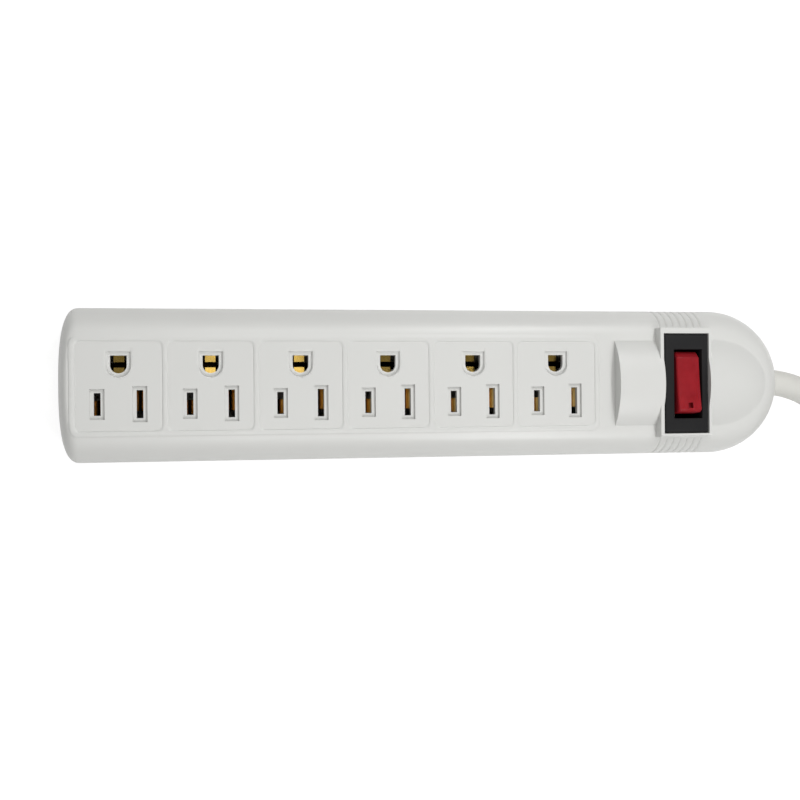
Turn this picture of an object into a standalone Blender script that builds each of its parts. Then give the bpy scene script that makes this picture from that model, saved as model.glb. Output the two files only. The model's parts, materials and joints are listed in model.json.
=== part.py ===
"""Six-outlet power strip with a lit rocker switch, a cord and a grounded plug.

Metres, +Z up. The origin is on the base's bottom face, on the strip's centre line.
+X points along the strip towards the cord, and +Y towards the outlets' ground holes.
"""

import math

import bmesh
import bpy
from mathutils import Matrix, Vector

MM = 0.001

# Housing
BLUNT_END_X = -118.5 * MM
ROUND_END_X = 120.4 * MM
HALF_WIDTH = 24.05 * MM
FACE_Z = 27.0 * MM  # plane of the outlet faces
SPLIT_Z = 13.0 * MM  # where the two covers meet, and the cord's centre
GAP = 0.3 * MM  # clearance between separate pieces
WALL = 2.2 * MM
TOP_THICKNESS = 2.9 * MM
FLOOR = 2.4 * MM
BLUNT_DEPTH = 6.6 * MM  # how far the blunt end's curve reaches along X
BLUNT_POWER = 2.7
SHOULDER = (9.35 * MM, 11.0 * MM)  # width and height of the rounded long edges
BLUNT_SHOULDER = 3.4 * MM  # width of the rounded edge at the blunt end
BASE_EDGE = 2.2 * MM
KEYHOLE_X = (-100.0 * MM, 66.0 * MM)
KEYHOLE = (4.0 * MM, 1.9 * MM, 9.0 * MM)  # hole radius, slot radius, slot length

# Outlets
OUTLETS = 6
PITCH = 27.78 * MM
FIRST_OUTLET_X = -100.05 * MM
BLADE_SPACING = 12.7 * MM
BLADE_Y = -5.95 * MM
GROUND_Y = 6.2 * MM
HOT_SLOT = (2.0 * MM, 6.9 * MM)
NEUTRAL_SLOT = (2.0 * MM, 8.6 * MM)
GROUND_HOLE = (4.95 * MM, 5.45 * MM)
RECESS_MARGIN = 1.2 * MM
RECESS_DEPTH = 1.0 * MM
SQUARE = (26.0 * MM, 27.3 * MM)
SQUARE_Y = -0.45 * MM
BEAD = (1.8 * MM, 0.45 * MM)  # width and height of the bead round the faces

# Contacts, in the base under the outlets
BUS_Z = (4.5 * MM, 5.1 * MM)
BUS_X = (-112.0 * MM, 50.0 * MM)
LEAF = 0.45 * MM
BLADE_LEAF = (  # (out, up) in millimetres
    (1.9, 4.7), (1.8, 10.0), (0.35, 16.5), (0.35, 18.2), (0.6, 19.8), (1.3, 20.8), (2.3, 21.2),
)
GROUND_LEAF = ((1.9, 4.7), (1.8, 9.0), (0.85, 15.0), (0.85, 21.5), (2.9, 21.9))

# Saddle and switch frame
SADDLE_RADIUS = 20.7 * MM
SADDLE_RISE = 5.45 * MM
SADDLE_Y = -0.4 * MM
SADDLE_X = (58.9 * MM, 91.0 * MM)
DOME_END_X = 110.0 * MM
FRAME_X = (73.25 * MM, 91.2 * MM)
FRAME_Y = (-18.3 * MM, 17.7 * MM)
PLATE_X = (74.7 * MM, 90.0 * MM)
PLATE_Y = (-16.9 * MM, 15.6 * MM)
PLATE_Z = 31.0 * MM  # top of the frame and of the switch's plate
PLATE_THICKNESS = 1.6 * MM

# Switch
SWITCH_X = 82.9 * MM
SWITCH_Y = -0.8 * MM
CASE_HALF = (6.2 * MM, 13.4 * MM)
CASE_BOTTOM = 10.0 * MM
CASE_WALL = 1.2 * MM
ROCKER_HALF = (4.05 * MM, 10.1 * MM)
ROCKER_OPENING_HALF = (4.85 * MM, 11.35 * MM)
ROCKER_MIDDLE = 6.4 * MM  # height of the rocker's top over its axis, at the middle
PIVOT_Z = 25.0 * MM
PIN_RADIUS = 1.0 * MM
BORE_RADIUS = 1.06 * MM
REST_TILT = math.radians(-6.5)
ROCKER_V = math.radians(3.0)
LEVER_Z = 14.0 * MM
LEVER_TILT = math.radians(5.0)
TERMINALS = (  # name, y from the switch's centre, and top
    ("lamp_terminal", -8.5 * MM, 13.0 * MM),
    ("line_out_terminal", 0, 14.0 * MM),
    ("line_in_terminal", 6.3 * MM, 12.9 * MM),
)
TERMINAL_HALF = (2.4 * MM, 0.4 * MM)

# Screws
SCREW_X = (-105.0 * MM, -28.0 * MM, 52.0 * MM)
SCREW_Y = 17.3 * MM
SCREW_SHAFT = 1.4 * MM
SCREW_HEAD = 2.7 * MM

# Cord and plug
CORD_RADIUS = 4.4 * MM
CORD_LIFT = 0.05 * MM  # clearance between the cord and the floor
LEVEL_STRIP_END = (22.0 * MM, 62.0 * MM)  # where the cord starts to sink, and over what length
LEVEL_PLUG_END = (58.0 * MM, 48.0 * MM)  # how far before its end it rises, and over what length
JACKET_START_X = 98.6 * MM
CORD_MOVES = (  # straight length, or bend radius and angle in degrees; in millimetres
    (19.3, 0, 0), (0, 42, -90), (32, 0, 0), (0, 20, 180), (120, 0, 0), (0, 20, -180), (58, 0, 0),
)
PLUG_LENGTH = 34.0 * MM
PLUG_SECTIONS = (  # distance along, two half widths and corner radius, in millimetres
    (0, 6.6, 6.6, 6.3), (9, 7.2, 7.2, 6.5), (13, 9.5, 9.5, 7), (18, 12.4, 12.6, 6),
    (24, 13, 13.4, 5), (34, 13, 13.4, 5),
)
PLUG_Z = 13.45 * MM  # height of the plug's middle as it lies on the floor
BLADE_HALF = (0.75 * MM, 3.15 * MM)
BLADE_Q = BLADE_SPACING / 2
BLADE_N = -4.5 * MM
BLADE_START = PLUG_LENGTH - 5 * MM
PIN_R = 2.4 * MM
PIN_N = 7.4 * MM

IVORY = (0.72, 0.71, 0.66, 1)
BLACK = (0.03, 0.03, 0.03, 1)
RED = (0.42, 0.03, 0.04, 1)
BRASS = (0.75, 0.52, 0.2, 1)
STEEL = (0.6, 0.6, 0.6, 1)
GREEN = (0.05, 0.35, 0.1, 1)
WHITE = (0.8, 0.8, 0.8, 1)
AMBER = (0.9, 0.5, 0.2, 1)
TAN = (0.6, 0.45, 0.3, 1)

WIRES = (  # name, colour, radius and path, in millimetres
    ("line_wire", BLACK, 1.3,
     ((97.8, -0.2, 10), (95.8, 0.3, 9.4), (93.2, 2.8, 7.4), (90.6, 5.1, 6.2), (85.8, 5.5, 6))),
    ("neutral_wire", WHITE, 1.3,
     ((97.6, -2.3, 13.8), (96.2, -2.2, 13.9), (94.6, 2.6, 11.7), (93.4, 10, 9.6), (90.5, 14.7, 8.5),
      (85, 14.8, 7), (72, 14.8, 6.5), (64, 8, 5.5), (56, 0.8, 4.9), (50.5, -0.2, 4.8))),
    ("ground_wire", GREEN, 1.3,
     ((97.6, 2.6, 14.8), (96.4, 2.8, 14.9), (95.2, 9, 15), (93.2, 14.5, 12), (90, 17.8, 9.5),
      (84, 18, 7.5), (70, 17.8, 7), (61, 12.5, 6), (55, 7.3, 5), (50.5, 6.2, 4.8))),
    ("line_jumper_wire", BLACK, 1.3,
     ((80, -0.8, 6), (76, -3, 5.6), (62, -10, 4.9), (50.5, -11.5, 4.8))),
    ("lamp_wire", WHITE, 0.8,
     ((80, -9.3, 6), (77, -8, 8.5), (68, -3, 9.5), (57, 1, 9), (50.5, -0.2, 8.2),
      (49, -0.2, 5.8))),
)


def clear_scene():
    for obj in list(bpy.data.objects):
        bpy.data.objects.remove(obj, do_unlink=True)


def collection(name):
    made = bpy.data.collections.new(name)
    bpy.context.scene.collection.children.link(made)
    return made


clear_scene()
PARTS = collection("power_strip")
HELPERS = collection("cutters")


def material(name, colour, roughness, metallic):
    made = bpy.data.materials.new(name)
    made.use_nodes = True
    shader = made.node_tree.nodes["Principled BSDF"]
    shader.inputs["Base Color"].default_value = colour
    shader.inputs["Roughness"].default_value = roughness
    shader.inputs["Metallic"].default_value = metallic
    return made


def object_from(name, mesh_data, target):
    obj = bpy.data.objects.new(name, mesh_data)
    target.objects.link(obj)
    return obj


def from_bmesh(name, bm, target):
    bmesh.ops.recalc_face_normals(bm, faces=bm.faces)
    mesh_data = bpy.data.meshes.new(name)
    bm.to_mesh(mesh_data)
    bm.free()
    return object_from(name, mesh_data, target)


def finish_part(obj, colour, roughness=0.5, metallic=0.0):
    obj.data.materials.clear()
    obj.data.materials.append(material(obj.name, colour, roughness, metallic))
    if obj.type == "MESH":
        obj.data.shade_smooth()
        obj.data.set_sharp_from_angle(angle=math.radians(35))
    return obj


def part(name, bm, colour, roughness=0.5, metallic=0.0):
    return finish_part(from_bmesh(name, bm, PARTS), colour, roughness, metallic)


def helper(name, bm):
    obj = from_bmesh(name, bm, HELPERS)
    obj.hide_render = True
    obj.display_type = "WIRE"
    return obj


def combine(target, bm, operation, name):
    """Add or cut the shape in bm on the target with an exact Boolean."""
    modifier = target.modifiers.new(name, "BOOLEAN")
    modifier.operation = operation
    modifier.solver = "EXACT"
    modifier.object = helper(f"{target.name}.{name}", bm)


def cut(target, bm, name):
    combine(target, bm, "DIFFERENCE", name)


def join(target, bm, name):
    combine(target, bm, "UNION", name)


def box(bm, low, high):
    size = [b - a for a, b in zip(low, high)]
    middle = [(a + b) / 2 for a, b in zip(low, high)]
    place = Matrix.Translation(middle) @ Matrix.Diagonal((*size, 1))
    bmesh.ops.create_cube(bm, size=1, matrix=place)


def cylinder(bm, start, axis, radius, length, segments=24):
    turn = Vector((0, 0, 1)).rotation_difference(Vector(axis)).to_matrix().to_4x4()
    place = Matrix.Translation(Vector(start)) @ turn @ Matrix.Translation((0, 0, length / 2))
    bmesh.ops.create_cone(
        bm, cap_ends=True, segments=segments, radius1=radius, radius2=radius,
        depth=length, matrix=place,
    )


def prism(bm, outline, low, high):
    """Extrude a closed outline of (x, y) points from height low to height high."""
    face = bm.faces.new([bm.verts.new((x, y, low)) for x, y in outline])
    grown = bmesh.ops.extrude_face_region(bm, geom=[face])["geom"]
    tops = [item for item in grown if isinstance(item, bmesh.types.BMVert)]
    bmesh.ops.translate(bm, verts=tops, vec=(0, 0, high - low))


def loft(bm, rings):
    """Skin a stack of rings that all have the same number of points, and cap both ends."""
    layers = [[bm.verts.new(point) for point in ring] for ring in rings]
    count = len(layers[0])
    for lower, upper in zip(layers, layers[1:]):
        for i in range(count):
            j = (i + 1) % count
            bm.faces.new((lower[i], lower[j], upper[j], upper[i]))
    bm.faces.new(layers[0][::-1])
    bm.faces.new(layers[-1])


def arc(centre, radius, start, end, steps):
    """Points on an arc, from and to the angles given in degrees."""
    points = []
    for i in range(steps + 1):
        angle = math.radians(start + (end - start) * i / steps)
        points.append((centre[0] + radius * math.cos(angle), centre[1] + radius * math.sin(angle)))
    return points


def rounded_rectangle(x_range, y_range, radius, steps=4):
    corners = (
        (x_range[1] - radius, y_range[0] + radius, -90),
        (x_range[1] - radius, y_range[1] - radius, 0),
        (x_range[0] + radius, y_range[1] - radius, 90),
        (x_range[0] + radius, y_range[0] + radius, 180),
    )
    points = []
    for x, y, start in corners:
        points += arc((x, y), radius, start, start + 90, steps)
    return points


def signed_power(value, power):
    return math.copysign(abs(value) ** power, value)


def body_outline(inset, blunt_inset, steps=14):
    """The strip's plan: a half circle at +X and a blunt, nearly square end at -X."""
    width = HALF_WIDTH - inset
    round_x = ROUND_END_X - HALF_WIDTH
    blunt_x = BLUNT_END_X + BLUNT_DEPTH
    points = arc((round_x, 0), width, -90, 90, 2 * steps)
    for i in range(steps + 1):
        angle = math.radians(90 + 180 * i / steps)
        x = signed_power(math.cos(angle), 2 / BLUNT_POWER)
        y = signed_power(math.sin(angle), 2 / BLUNT_POWER)
        points.append((blunt_x + x * (BLUNT_DEPTH - blunt_inset), y * width))
    return points


def ring_at(z, inset, blunt_inset):
    return [(x, y, z) for x, y in body_outline(inset, blunt_inset)]


def shouldered(bm, bottom, top, inset, steps=7):
    """A body whose walls rise from the bottom and round over into a flat top."""
    rings = [ring_at(bottom, inset, inset)]
    start = FACE_Z - SHOULDER[1]
    for i in range(steps + 1):
        angle = math.radians(90 * i / steps)
        fall = 1 - math.cos(angle)
        z = start + (top - start) * math.sin(angle)
        rings.append(ring_at(z, inset + fall * SHOULDER[0], inset + fall * BLUNT_SHOULDER))
    loft(bm, rings)


def outlet_x(index):
    return FIRST_OUTLET_X + index * PITCH


def saddle_section(x, share):
    """One cross-section of the arched saddle, scaled down as it fades into the dome."""
    centre_z = FACE_Z + SADDLE_RISE - SADDLE_RADIUS
    chord = math.sqrt(SADDLE_RADIUS**2 - (SADDLE_RADIUS - SADDLE_RISE) ** 2)
    half = chord * share
    points = [(x, SADDLE_Y - half, FACE_Z - WALL), (x, SADDLE_Y + half, FACE_Z - WALL)]
    for i in range(13):
        y = half * (1 - i / 6)
        full = math.sqrt(SADDLE_RADIUS**2 - (y / share) ** 2) + centre_z - FACE_Z
        points.append((x, SADDLE_Y + y, FACE_Z - 0.02 * MM + full * share**2))
    return points


def saddle(bm):
    sections = [saddle_section(SADDLE_X[0], 1.0), saddle_section(SADDLE_X[1], 1.0)]
    for i in range(1, 8):
        angle = math.radians(82 * i / 7)
        x = SADDLE_X[1] + (DOME_END_X - SADDLE_X[1]) * math.sin(angle)
        sections.append(saddle_section(x, math.cos(angle)))
    loft(bm, sections)


def slot_box(bm, x, size, low, high, margin=0.0):
    half_x = size[0] / 2 + margin
    half_y = size[1] / 2 + margin
    box(bm, (x - half_x, BLADE_Y - half_y, low), (x + half_x, BLADE_Y + half_y, high))


def ground_prism(bm, x, low, high, margin=0.0):
    half = GROUND_HOLE[0] / 2 + margin
    top = GROUND_Y + GROUND_HOLE[1] / 2 + margin
    centre_y = GROUND_Y - GROUND_HOLE[1] / 2 - margin + half
    outline = arc((x, centre_y), half, 180, 360, 6) + [(x + half, top), (x - half, top)]
    prism(bm, outline, low, high)


def outlet_holes(bm, low, high, margin=0.0):
    for index in range(OUTLETS):
        x = outlet_x(index)
        slot_box(bm, x - BLADE_SPACING / 2, HOT_SLOT, low, high, margin)
        slot_box(bm, x + BLADE_SPACING / 2, NEUTRAL_SLOT, low, high, margin)
        ground_prism(bm, x, low, high, margin)


def top_cover():
    bm = bmesh.new()
    shouldered(bm, SPLIT_Z + GAP / 2, FACE_Z, 0)
    cover = part("top_cover", bm, IVORY, 0.42)

    bm = bmesh.new()
    shouldered(bm, SPLIT_Z - GAP, FACE_Z - TOP_THICKNESS, WALL)
    cut(cover, bm, "cavity")

    bm = bmesh.new()
    half = (SQUARE[0] / 2 + BEAD[0], SQUARE[1] / 2 + BEAD[0])
    x_range = (outlet_x(0) - half[0], outlet_x(OUTLETS - 1) + half[0])
    y_range = (SQUARE_Y - half[1], SQUARE_Y + half[1])
    prism(bm, rounded_rectangle(x_range, y_range, 2.6 * MM), FACE_Z - 1.2 * MM, FACE_Z + BEAD[1])
    join(cover, bm, "bead_plate")

    bm = bmesh.new()
    for index in range(OUTLETS):
        x = outlet_x(index)
        x_range = (x - SQUARE[0] / 2, x + SQUARE[0] / 2)
        y_range = (SQUARE_Y - SQUARE[1] / 2, SQUARE_Y + SQUARE[1] / 2)
        prism(bm, rounded_rectangle(x_range, y_range, 1.5 * MM), FACE_Z, FACE_Z + 2 * MM)
    cut(cover, bm, "outlet_faces")

    bm = bmesh.new()
    saddle(bm)
    join(cover, bm, "saddle")

    bm = bmesh.new()
    box(bm, (FRAME_X[0], FRAME_Y[0], 24.5 * MM), (FRAME_X[1], FRAME_Y[1], PLATE_Z))
    join(cover, bm, "switch_frame")

    bm = bmesh.new()
    low_z = PLATE_Z - PLATE_THICKNESS - GAP
    clear = 0.2 * MM
    low = (PLATE_X[0] - clear, PLATE_Y[0] - clear, low_z)
    high = (PLATE_X[1] + clear, PLATE_Y[1] + clear, FACE_Z + 9 * MM)
    box(bm, low, high)
    cut(cover, bm, "plate_recess")

    bm = bmesh.new()
    switch_box(bm, CASE_HALF, 20 * MM, 31 * MM, GAP)
    cut(cover, bm, "switch_hole")

    bm = bmesh.new()
    outlet_holes(bm, FACE_Z - RECESS_DEPTH, FACE_Z + 1.5 * MM, RECESS_MARGIN)
    cut(cover, bm, "recesses")

    bm = bmesh.new()
    outlet_holes(bm, FACE_Z - 6 * MM, FACE_Z + MM)
    cut(cover, bm, "slots")

    bm = bmesh.new()
    for x, y in screw_places():
        cylinder(bm, (x, y, SPLIT_Z + GAP / 2), (0, 0, 1), 3.2 * MM, 7.8 * MM, 14)
    join(cover, bm, "bosses")

    bm = bmesh.new()
    for x, y in screw_places():
        cylinder(bm, (x, y, SPLIT_Z - MM), (0, 0, 1), SCREW_SHAFT + GAP, 6.9 * MM, 12)
    cut(cover, bm, "boss_holes")

    bm = bmesh.new()
    cord_hole(bm)
    cut(cover, bm, "cord_hole")


def screw_places():
    return [(x, side * SCREW_Y) for x in SCREW_X for side in (-1, 1)]


def cord_hole(bm):
    length = 14 * MM
    start = (ROUND_END_X - length / 2, 0, SPLIT_Z)
    cylinder(bm, start, (1, 0, 0), CORD_RADIUS + GAP, length, 32)


def switch_box(bm, half, low, high, margin=0.0):
    low_corner = (SWITCH_X - half[0] - margin, SWITCH_Y - half[1] - margin, low)
    high_corner = (SWITCH_X + half[0] + margin, SWITCH_Y + half[1] + margin, high)
    box(bm, low_corner, high_corner)


def clamp_places():
    return [(104 * MM, side * 7.7 * MM) for side in (-1, 1)]


def base_cover():
    bm = bmesh.new()
    rings = []
    for i in range(5):
        angle = math.radians(90 * i / 4)
        inset = BASE_EDGE * (1 - math.sin(angle))
        rings.append(ring_at(BASE_EDGE * (1 - math.cos(angle)), inset, inset))
    rings.append(ring_at(SPLIT_Z - GAP / 2, 0, 0))
    loft(bm, rings)
    cover = part("base_cover", bm, IVORY, 0.5)

    bm = bmesh.new()
    loft(bm, [ring_at(FLOOR, WALL, WALL), ring_at(SPLIT_Z + MM, WALL, WALL)])
    cut(cover, bm, "cavity")

    bm = bmesh.new()
    cord_hole(bm)
    cut(cover, bm, "cord_hole")

    bm = bmesh.new()
    top = SPLIT_Z - GAP / 2
    for x, y in screw_places():
        cylinder(bm, (x, y, FLOOR - MM), (0, 0, 1), 4 * MM, top - FLOOR + MM, 14)
    join(cover, bm, "bosses")

    bm = bmesh.new()
    for x, y in clamp_places():
        low = (x - 3 * MM, y - 2.3 * MM, FLOOR - MM)
        box(bm, low, (x + 3 * MM, y + 2.3 * MM, 13.2 * MM))
    for index in range(OUTLETS - 1):
        x = outlet_x(index) + PITCH / 2
        low = (x - MM, -13 * MM, FLOOR - MM)
        box(bm, low, (x + MM, 9 * MM, BUS_Z[0] - GAP))
    join(cover, bm, "posts")

    bm = bmesh.new()
    for x, y in screw_places():
        cylinder(bm, (x, y, -MM), (0, 0, 1), SCREW_SHAFT + GAP, SPLIT_Z + 2 * MM, 12)
    for x, y in clamp_places():
        cylinder(bm, (x, y, 6 * MM), (0, 0, 1), 1.4 * MM, 9 * MM, 12)
    cut(cover, bm, "screw_holes")

    bm = bmesh.new()
    for x, y in screw_places():
        cylinder(bm, (x, y, -MM), (0, 0, 1), SCREW_HEAD + GAP, 4 * MM, 18)
    box(bm, (-70 * MM, -10 * MM, -MM), (-8 * MM, 10 * MM, 0.3 * MM))
    cut(cover, bm, "counterbores")

    bm = bmesh.new()
    for x in KEYHOLE_X:
        prism(bm, keyhole(x), -MM, FLOOR + MM)
    cut(cover, bm, "keyholes")


def keyhole(x):
    """A round hole for a screw's head that narrows into a slot for its neck."""
    spread = math.degrees(math.asin(KEYHOLE[1] / KEYHOLE[0]))
    hole = arc((x, 0), KEYHOLE[0], spread, 360 - spread, 20)
    return hole + arc((x + KEYHOLE[2], 0), KEYHOLE[1], -90, 90, 8)


def offset_line(points, distance):
    """The line moved sideways, to the right of the way it runs, with mitred corners."""
    sides = []
    for start, end in zip(points, points[1:]):
        along = (end - start).normalized()
        sides.append(Vector((along.y, -along.x)))
    moved = []
    for point, before, after in zip(points, sides[:1] + sides, sides + sides[-1:]):
        moved.append(point + (before + after) * distance / (1 + before.dot(after)))
    return moved


def leaf(bm, profile, point_at, low, high):
    """A bent spring leaf: the profile (distance out, height) swept from low to high."""
    inner = [Vector((a * MM, b * MM)) for a, b in profile]
    outer = offset_line(inner, LEAF)
    rings = []
    for along in (low, high):
        rings.append([point_at(a, along, b) for a, b in inner + outer[::-1]])
    loft(bm, rings)


def blade_leaves(bm, x, y_low, y_high):
    for side in (-1, 1):
        leaf(bm, BLADE_LEAF, lambda a, y, z, s=side: (x + s * a, y, z), y_low, y_high)


def ground_leaves(bm, x):
    half = 1.6 * MM
    for side in (-1, 1):
        leaf(bm, GROUND_LEAF, lambda a, t, z, s=side: (t, GROUND_Y + s * a, z), x - half, x + half)


def bus_bar(name, strip_y, roots, leaves):
    """A flat strip with root plates on its side, and a pair of leaves on each root."""
    bm = bmesh.new()
    box(bm, (BUS_X[0], strip_y[0], BUS_Z[0]), (BUS_X[1], strip_y[1], BUS_Z[1]))
    bar = part(name, bm, BRASS, 0.3, 1.0)
    bm = bmesh.new()
    for x, half, y_low, y_high in roots:
        drop = 0.05 * MM
        box(bm, (x - half, y_low, BUS_Z[0] - drop), (x + half, y_high, BUS_Z[1] + drop))
    join(bar, bm, "roots")
    bm = bmesh.new()
    leaves(bm)
    join(bar, bm, "leaves")


def bus_bars():
    hot = [outlet_x(i) - BLADE_SPACING / 2 for i in range(OUTLETS)]
    neutral = [outlet_x(i) + BLADE_SPACING / 2 for i in range(OUTLETS)]
    ground = [outlet_x(i) for i in range(OUTLETS)]
    hot_y = (-9.3 * MM, -4.8 * MM)
    neutral_y = (-8.0 * MM, -1.7 * MM)
    half = 2.5 * MM

    def hot_leaves(bm):
        for x in hot:
            blade_leaves(bm, x, *hot_y)

    def neutral_leaves(bm):
        for x in neutral:
            blade_leaves(bm, x, *neutral_y)

    def earth_leaves(bm):
        for x in ground:
            ground_leaves(bm, x)

    roots = [(x, half, -11.5 * MM, hot_y[1] + 0.1 * MM) for x in hot]
    bus_bar("line_bus_bar", (-12.6 * MM, -10.4 * MM), roots, hot_leaves)
    roots = [(x, half, neutral_y[0] - 0.1 * MM, 0) for x in neutral]
    bus_bar("neutral_bus_bar", (-1.3 * MM, 0.9 * MM), roots, neutral_leaves)
    reach = 2.5 * MM
    roots = [(x, 1.8 * MM, GROUND_Y - reach, GROUND_Y + reach) for x in ground]
    bus_bar("ground_bus_bar", (GROUND_Y - 1.1 * MM, GROUND_Y + 1.1 * MM), roots, earth_leaves)


def turned(name, profile, colour, roughness, metallic, steps=24):
    """Revolve a profile of (radius, height) points, listed from top to bottom, about Z."""
    data = bpy.data.meshes.new(name)
    bm = bmesh.new()
    points = [bm.verts.new((radius, 0, z)) for radius, z in profile]
    for first, second in zip(points, points[1:]):
        bm.edges.new((first, second))
    bm.to_mesh(data)
    bm.free()
    obj = object_from(name, data, PARTS)
    screw = obj.modifiers.new("turn", "SCREW")
    screw.steps = steps
    screw.render_steps = steps
    screw.use_merge_vertices = True
    screw.merge_threshold = 0.00001
    return finish_part(obj, colour, roughness, metallic)


def cross_recess(obj, z, size):
    for index, (a, b) in enumerate(((size, 0.22 * size), (0.22 * size, size))):
        bm = bmesh.new()
        box(bm, (-a, -b, z - 0.9 * MM), (a, b, z + MM))
        cut(obj, bm, f"slot_{index}")


def place(obj, location, rotation=(0, 0, 0)):
    """Put a part in its place, and its cutters with it."""
    targets = [obj] + [m.object for m in obj.modifiers if m.type == "BOOLEAN"]
    for item in targets:
        item.location = location
        item.rotation_euler = rotation


def screw_fastener(name, shaft, head, length, location, rotation):
    """A screw whose head's top is at z 0 and whose shaft runs down."""
    thick = 1.8 * MM
    profile = (
        (0, 0), (head * 0.75, 0), (head, -0.7 * MM), (head, -thick), (shaft, -thick),
        (shaft, -length + shaft), (0, -length),
    )
    screw = turned(name, profile, STEEL, 0.3, 1.0, 14)
    cross_recess(screw, 0, head * 0.6)
    place(screw, location, rotation)


def screws():
    for index, (x, y) in enumerate(screw_places()):
        name = f"housing_screw_{index + 1}"
        place_at = (x, y, 0.8 * MM)
        screw_fastener(name, SCREW_SHAFT, SCREW_HEAD, 17 * MM, place_at, (math.pi, 0, 0))
    for index, (x, y) in enumerate(clamp_places()):
        name = f"clamp_screw_{index + 1}"
        screw_fastener(name, 1.1 * MM, 2 * MM, 14 * MM, (x, y, 21.9 * MM), (0, 0, 0))


def cord_clamp():
    bm = bmesh.new()
    x = clamp_places()[0][0]
    box(bm, (x - 3 * MM, -10 * MM, 13.6 * MM), (x + 3 * MM, 10 * MM, 19.7 * MM))
    clamp = part("cord_clamp", bm, WHITE, 0.5)
    bm = bmesh.new()
    cylinder(bm, (x - 6 * MM, 0, SPLIT_Z), (1, 0, 0), CORD_RADIUS + GAP, 12 * MM, 32)
    for side_x, y in clamp_places():
        cylinder(bm, (side_x, y, 10 * MM), (0, 0, 1), 1.4 * MM, 14 * MM, 12)
    cut(clamp, bm, "holes")


def switch_case():
    bm = bmesh.new()
    switch_box(bm, CASE_HALF, CASE_BOTTOM, PLATE_Z - 0.8 * MM)
    case = part("switch_case", bm, BLACK, 0.45)

    bm = bmesh.new()
    low = (PLATE_X[0], PLATE_Y[0], PLATE_Z - PLATE_THICKNESS)
    box(bm, low, (PLATE_X[1], PLATE_Y[1], PLATE_Z))
    join(case, bm, "bezel")

    bm = bmesh.new()
    switch_box(bm, CASE_HALF, CASE_BOTTOM + 1.5 * MM, PLATE_Z - 2.5 * MM, -CASE_WALL)
    cut(case, bm, "cavity")

    bm = bmesh.new()
    switch_box(bm, ROCKER_OPENING_HALF, PLATE_Z - 6 * MM, PLATE_Z + MM)
    cut(case, bm, "opening")

    bm = bmesh.new()
    start = (SWITCH_X - 12 * MM, SWITCH_Y, PIVOT_Z)
    cylinder(bm, start, (1, 0, 0), PIN_RADIUS + 0.04 * MM, 24 * MM)
    for _, y, _ in TERMINALS:
        half = (TERMINAL_HALF[0] + GAP, TERMINAL_HALF[1] + GAP)
        low = (SWITCH_X - half[0], SWITCH_Y + y - half[1], CASE_BOTTOM - MM)
        box(bm, low, (SWITCH_X + half[0], SWITCH_Y + y + half[1], CASE_BOTTOM + 2 * MM))
    cut(case, bm, "pin_and_terminal_holes")


def terminals():
    for name, y, top in TERMINALS:
        bm = bmesh.new()
        low = (SWITCH_X - TERMINAL_HALF[0], SWITCH_Y + y - TERMINAL_HALF[1], 3.4 * MM)
        high = (SWITCH_X + TERMINAL_HALF[0], SWITCH_Y + y + TERMINAL_HALF[1], top)
        box(bm, low, high)
        blade = part(name, bm, BRASS, 0.3, 1.0)
        if name != "line_in_terminal":
            continue
        bm = bmesh.new()
        low = (SWITCH_X - 1.8 * MM, SWITCH_Y + y - 1.3 * MM, top - 0.7 * MM)
        box(bm, low, (SWITCH_X + 1.8 * MM, SWITCH_Y + y + 1.3 * MM, top + 0.05 * MM))
        join(blade, bm, "contact")


def lamp_parts():
    profile = ((0, 9), (0.9, 8.7), (1.45, 7.8), (1.5, 6.5), (1.5, 0.4), (1.2, 0), (0, 0))
    profile = [(r * MM, z * MM) for r, z in profile]
    lamp = turned("neon_lamp", profile, AMBER, 0.1, 0.0, 16)
    place(lamp, (SWITCH_X, SWITCH_Y + 9.8 * MM, 12.5 * MM))
    profile = ((0, 6), (0.7, 6), (0.95, 5.4), (0.8, 4.6), (0.8, 1.4), (0.95, 0.6), (0.7, 0), (0, 0))
    profile = [(r * MM, z * MM) for r, z in profile]
    resistor = turned("lamp_resistor", profile, TAN, 0.4, 0.0, 16)
    place(resistor, (SWITCH_X, SWITCH_Y - 10.5 * MM, 12.5 * MM))


def empty_at(name, location, tilt):
    made = bpy.data.objects.new(name, None)
    HELPERS.objects.link(made)
    made.location = location
    made.rotation_euler = (tilt, 0, 0)
    return made


def hang(obj, empty):
    """Parent a part and its cutters to an empty, keeping their local coordinates."""
    for item in [obj] + [m.object for m in obj.modifiers if m.type == "BOOLEAN"]:
        item.parent = empty


def rocker_profile():
    """The rocker's side outline as (y, z) about its pivot: a shallow V on top."""
    reach = ROCKER_HALF[1]
    end = ROCKER_MIDDLE + reach * math.tan(ROCKER_V)
    return [(-reach, MM), (reach, MM), (reach, end), (0, ROCKER_MIDDLE), (-reach, end)]


def rocker(pivot):
    half = ROCKER_HALF[0]
    bm = bmesh.new()
    loft(bm, [[(x, y, z) for y, z in rocker_profile()] for x in (-half, half)])
    body = part("rocker", bm, RED, 0.15)
    bm = bmesh.new()
    for side in (-1, 1):
        y = sorted((side * 3.4 * MM, side * 9.2 * MM))
        box(bm, (-3 * MM, y[0], -MM), (3 * MM, y[1], 4.9 * MM))
    cut(body, bm, "hollows")
    bm = bmesh.new()
    cylinder(bm, (-half, 0, 0), (1, 0, 0), 2.8 * MM, 2 * half, 24)
    join(body, bm, "hub")
    bm = bmesh.new()
    box(bm, (-2.6 * MM, -2.4 * MM, -7 * MM), (2.6 * MM, 2.4 * MM, 0))
    join(body, bm, "stem")
    bm = bmesh.new()
    cylinder(bm, (-half - MM, 0, 0), (1, 0, 0), BORE_RADIUS, 2 * half + 2 * MM)
    cylinder(bm, (0, 0, -8 * MM), (0, 0, 1), 1.6 * MM, 6.3 * MM, 16)
    cut(body, bm, "bores")
    hang(body, pivot)


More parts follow.
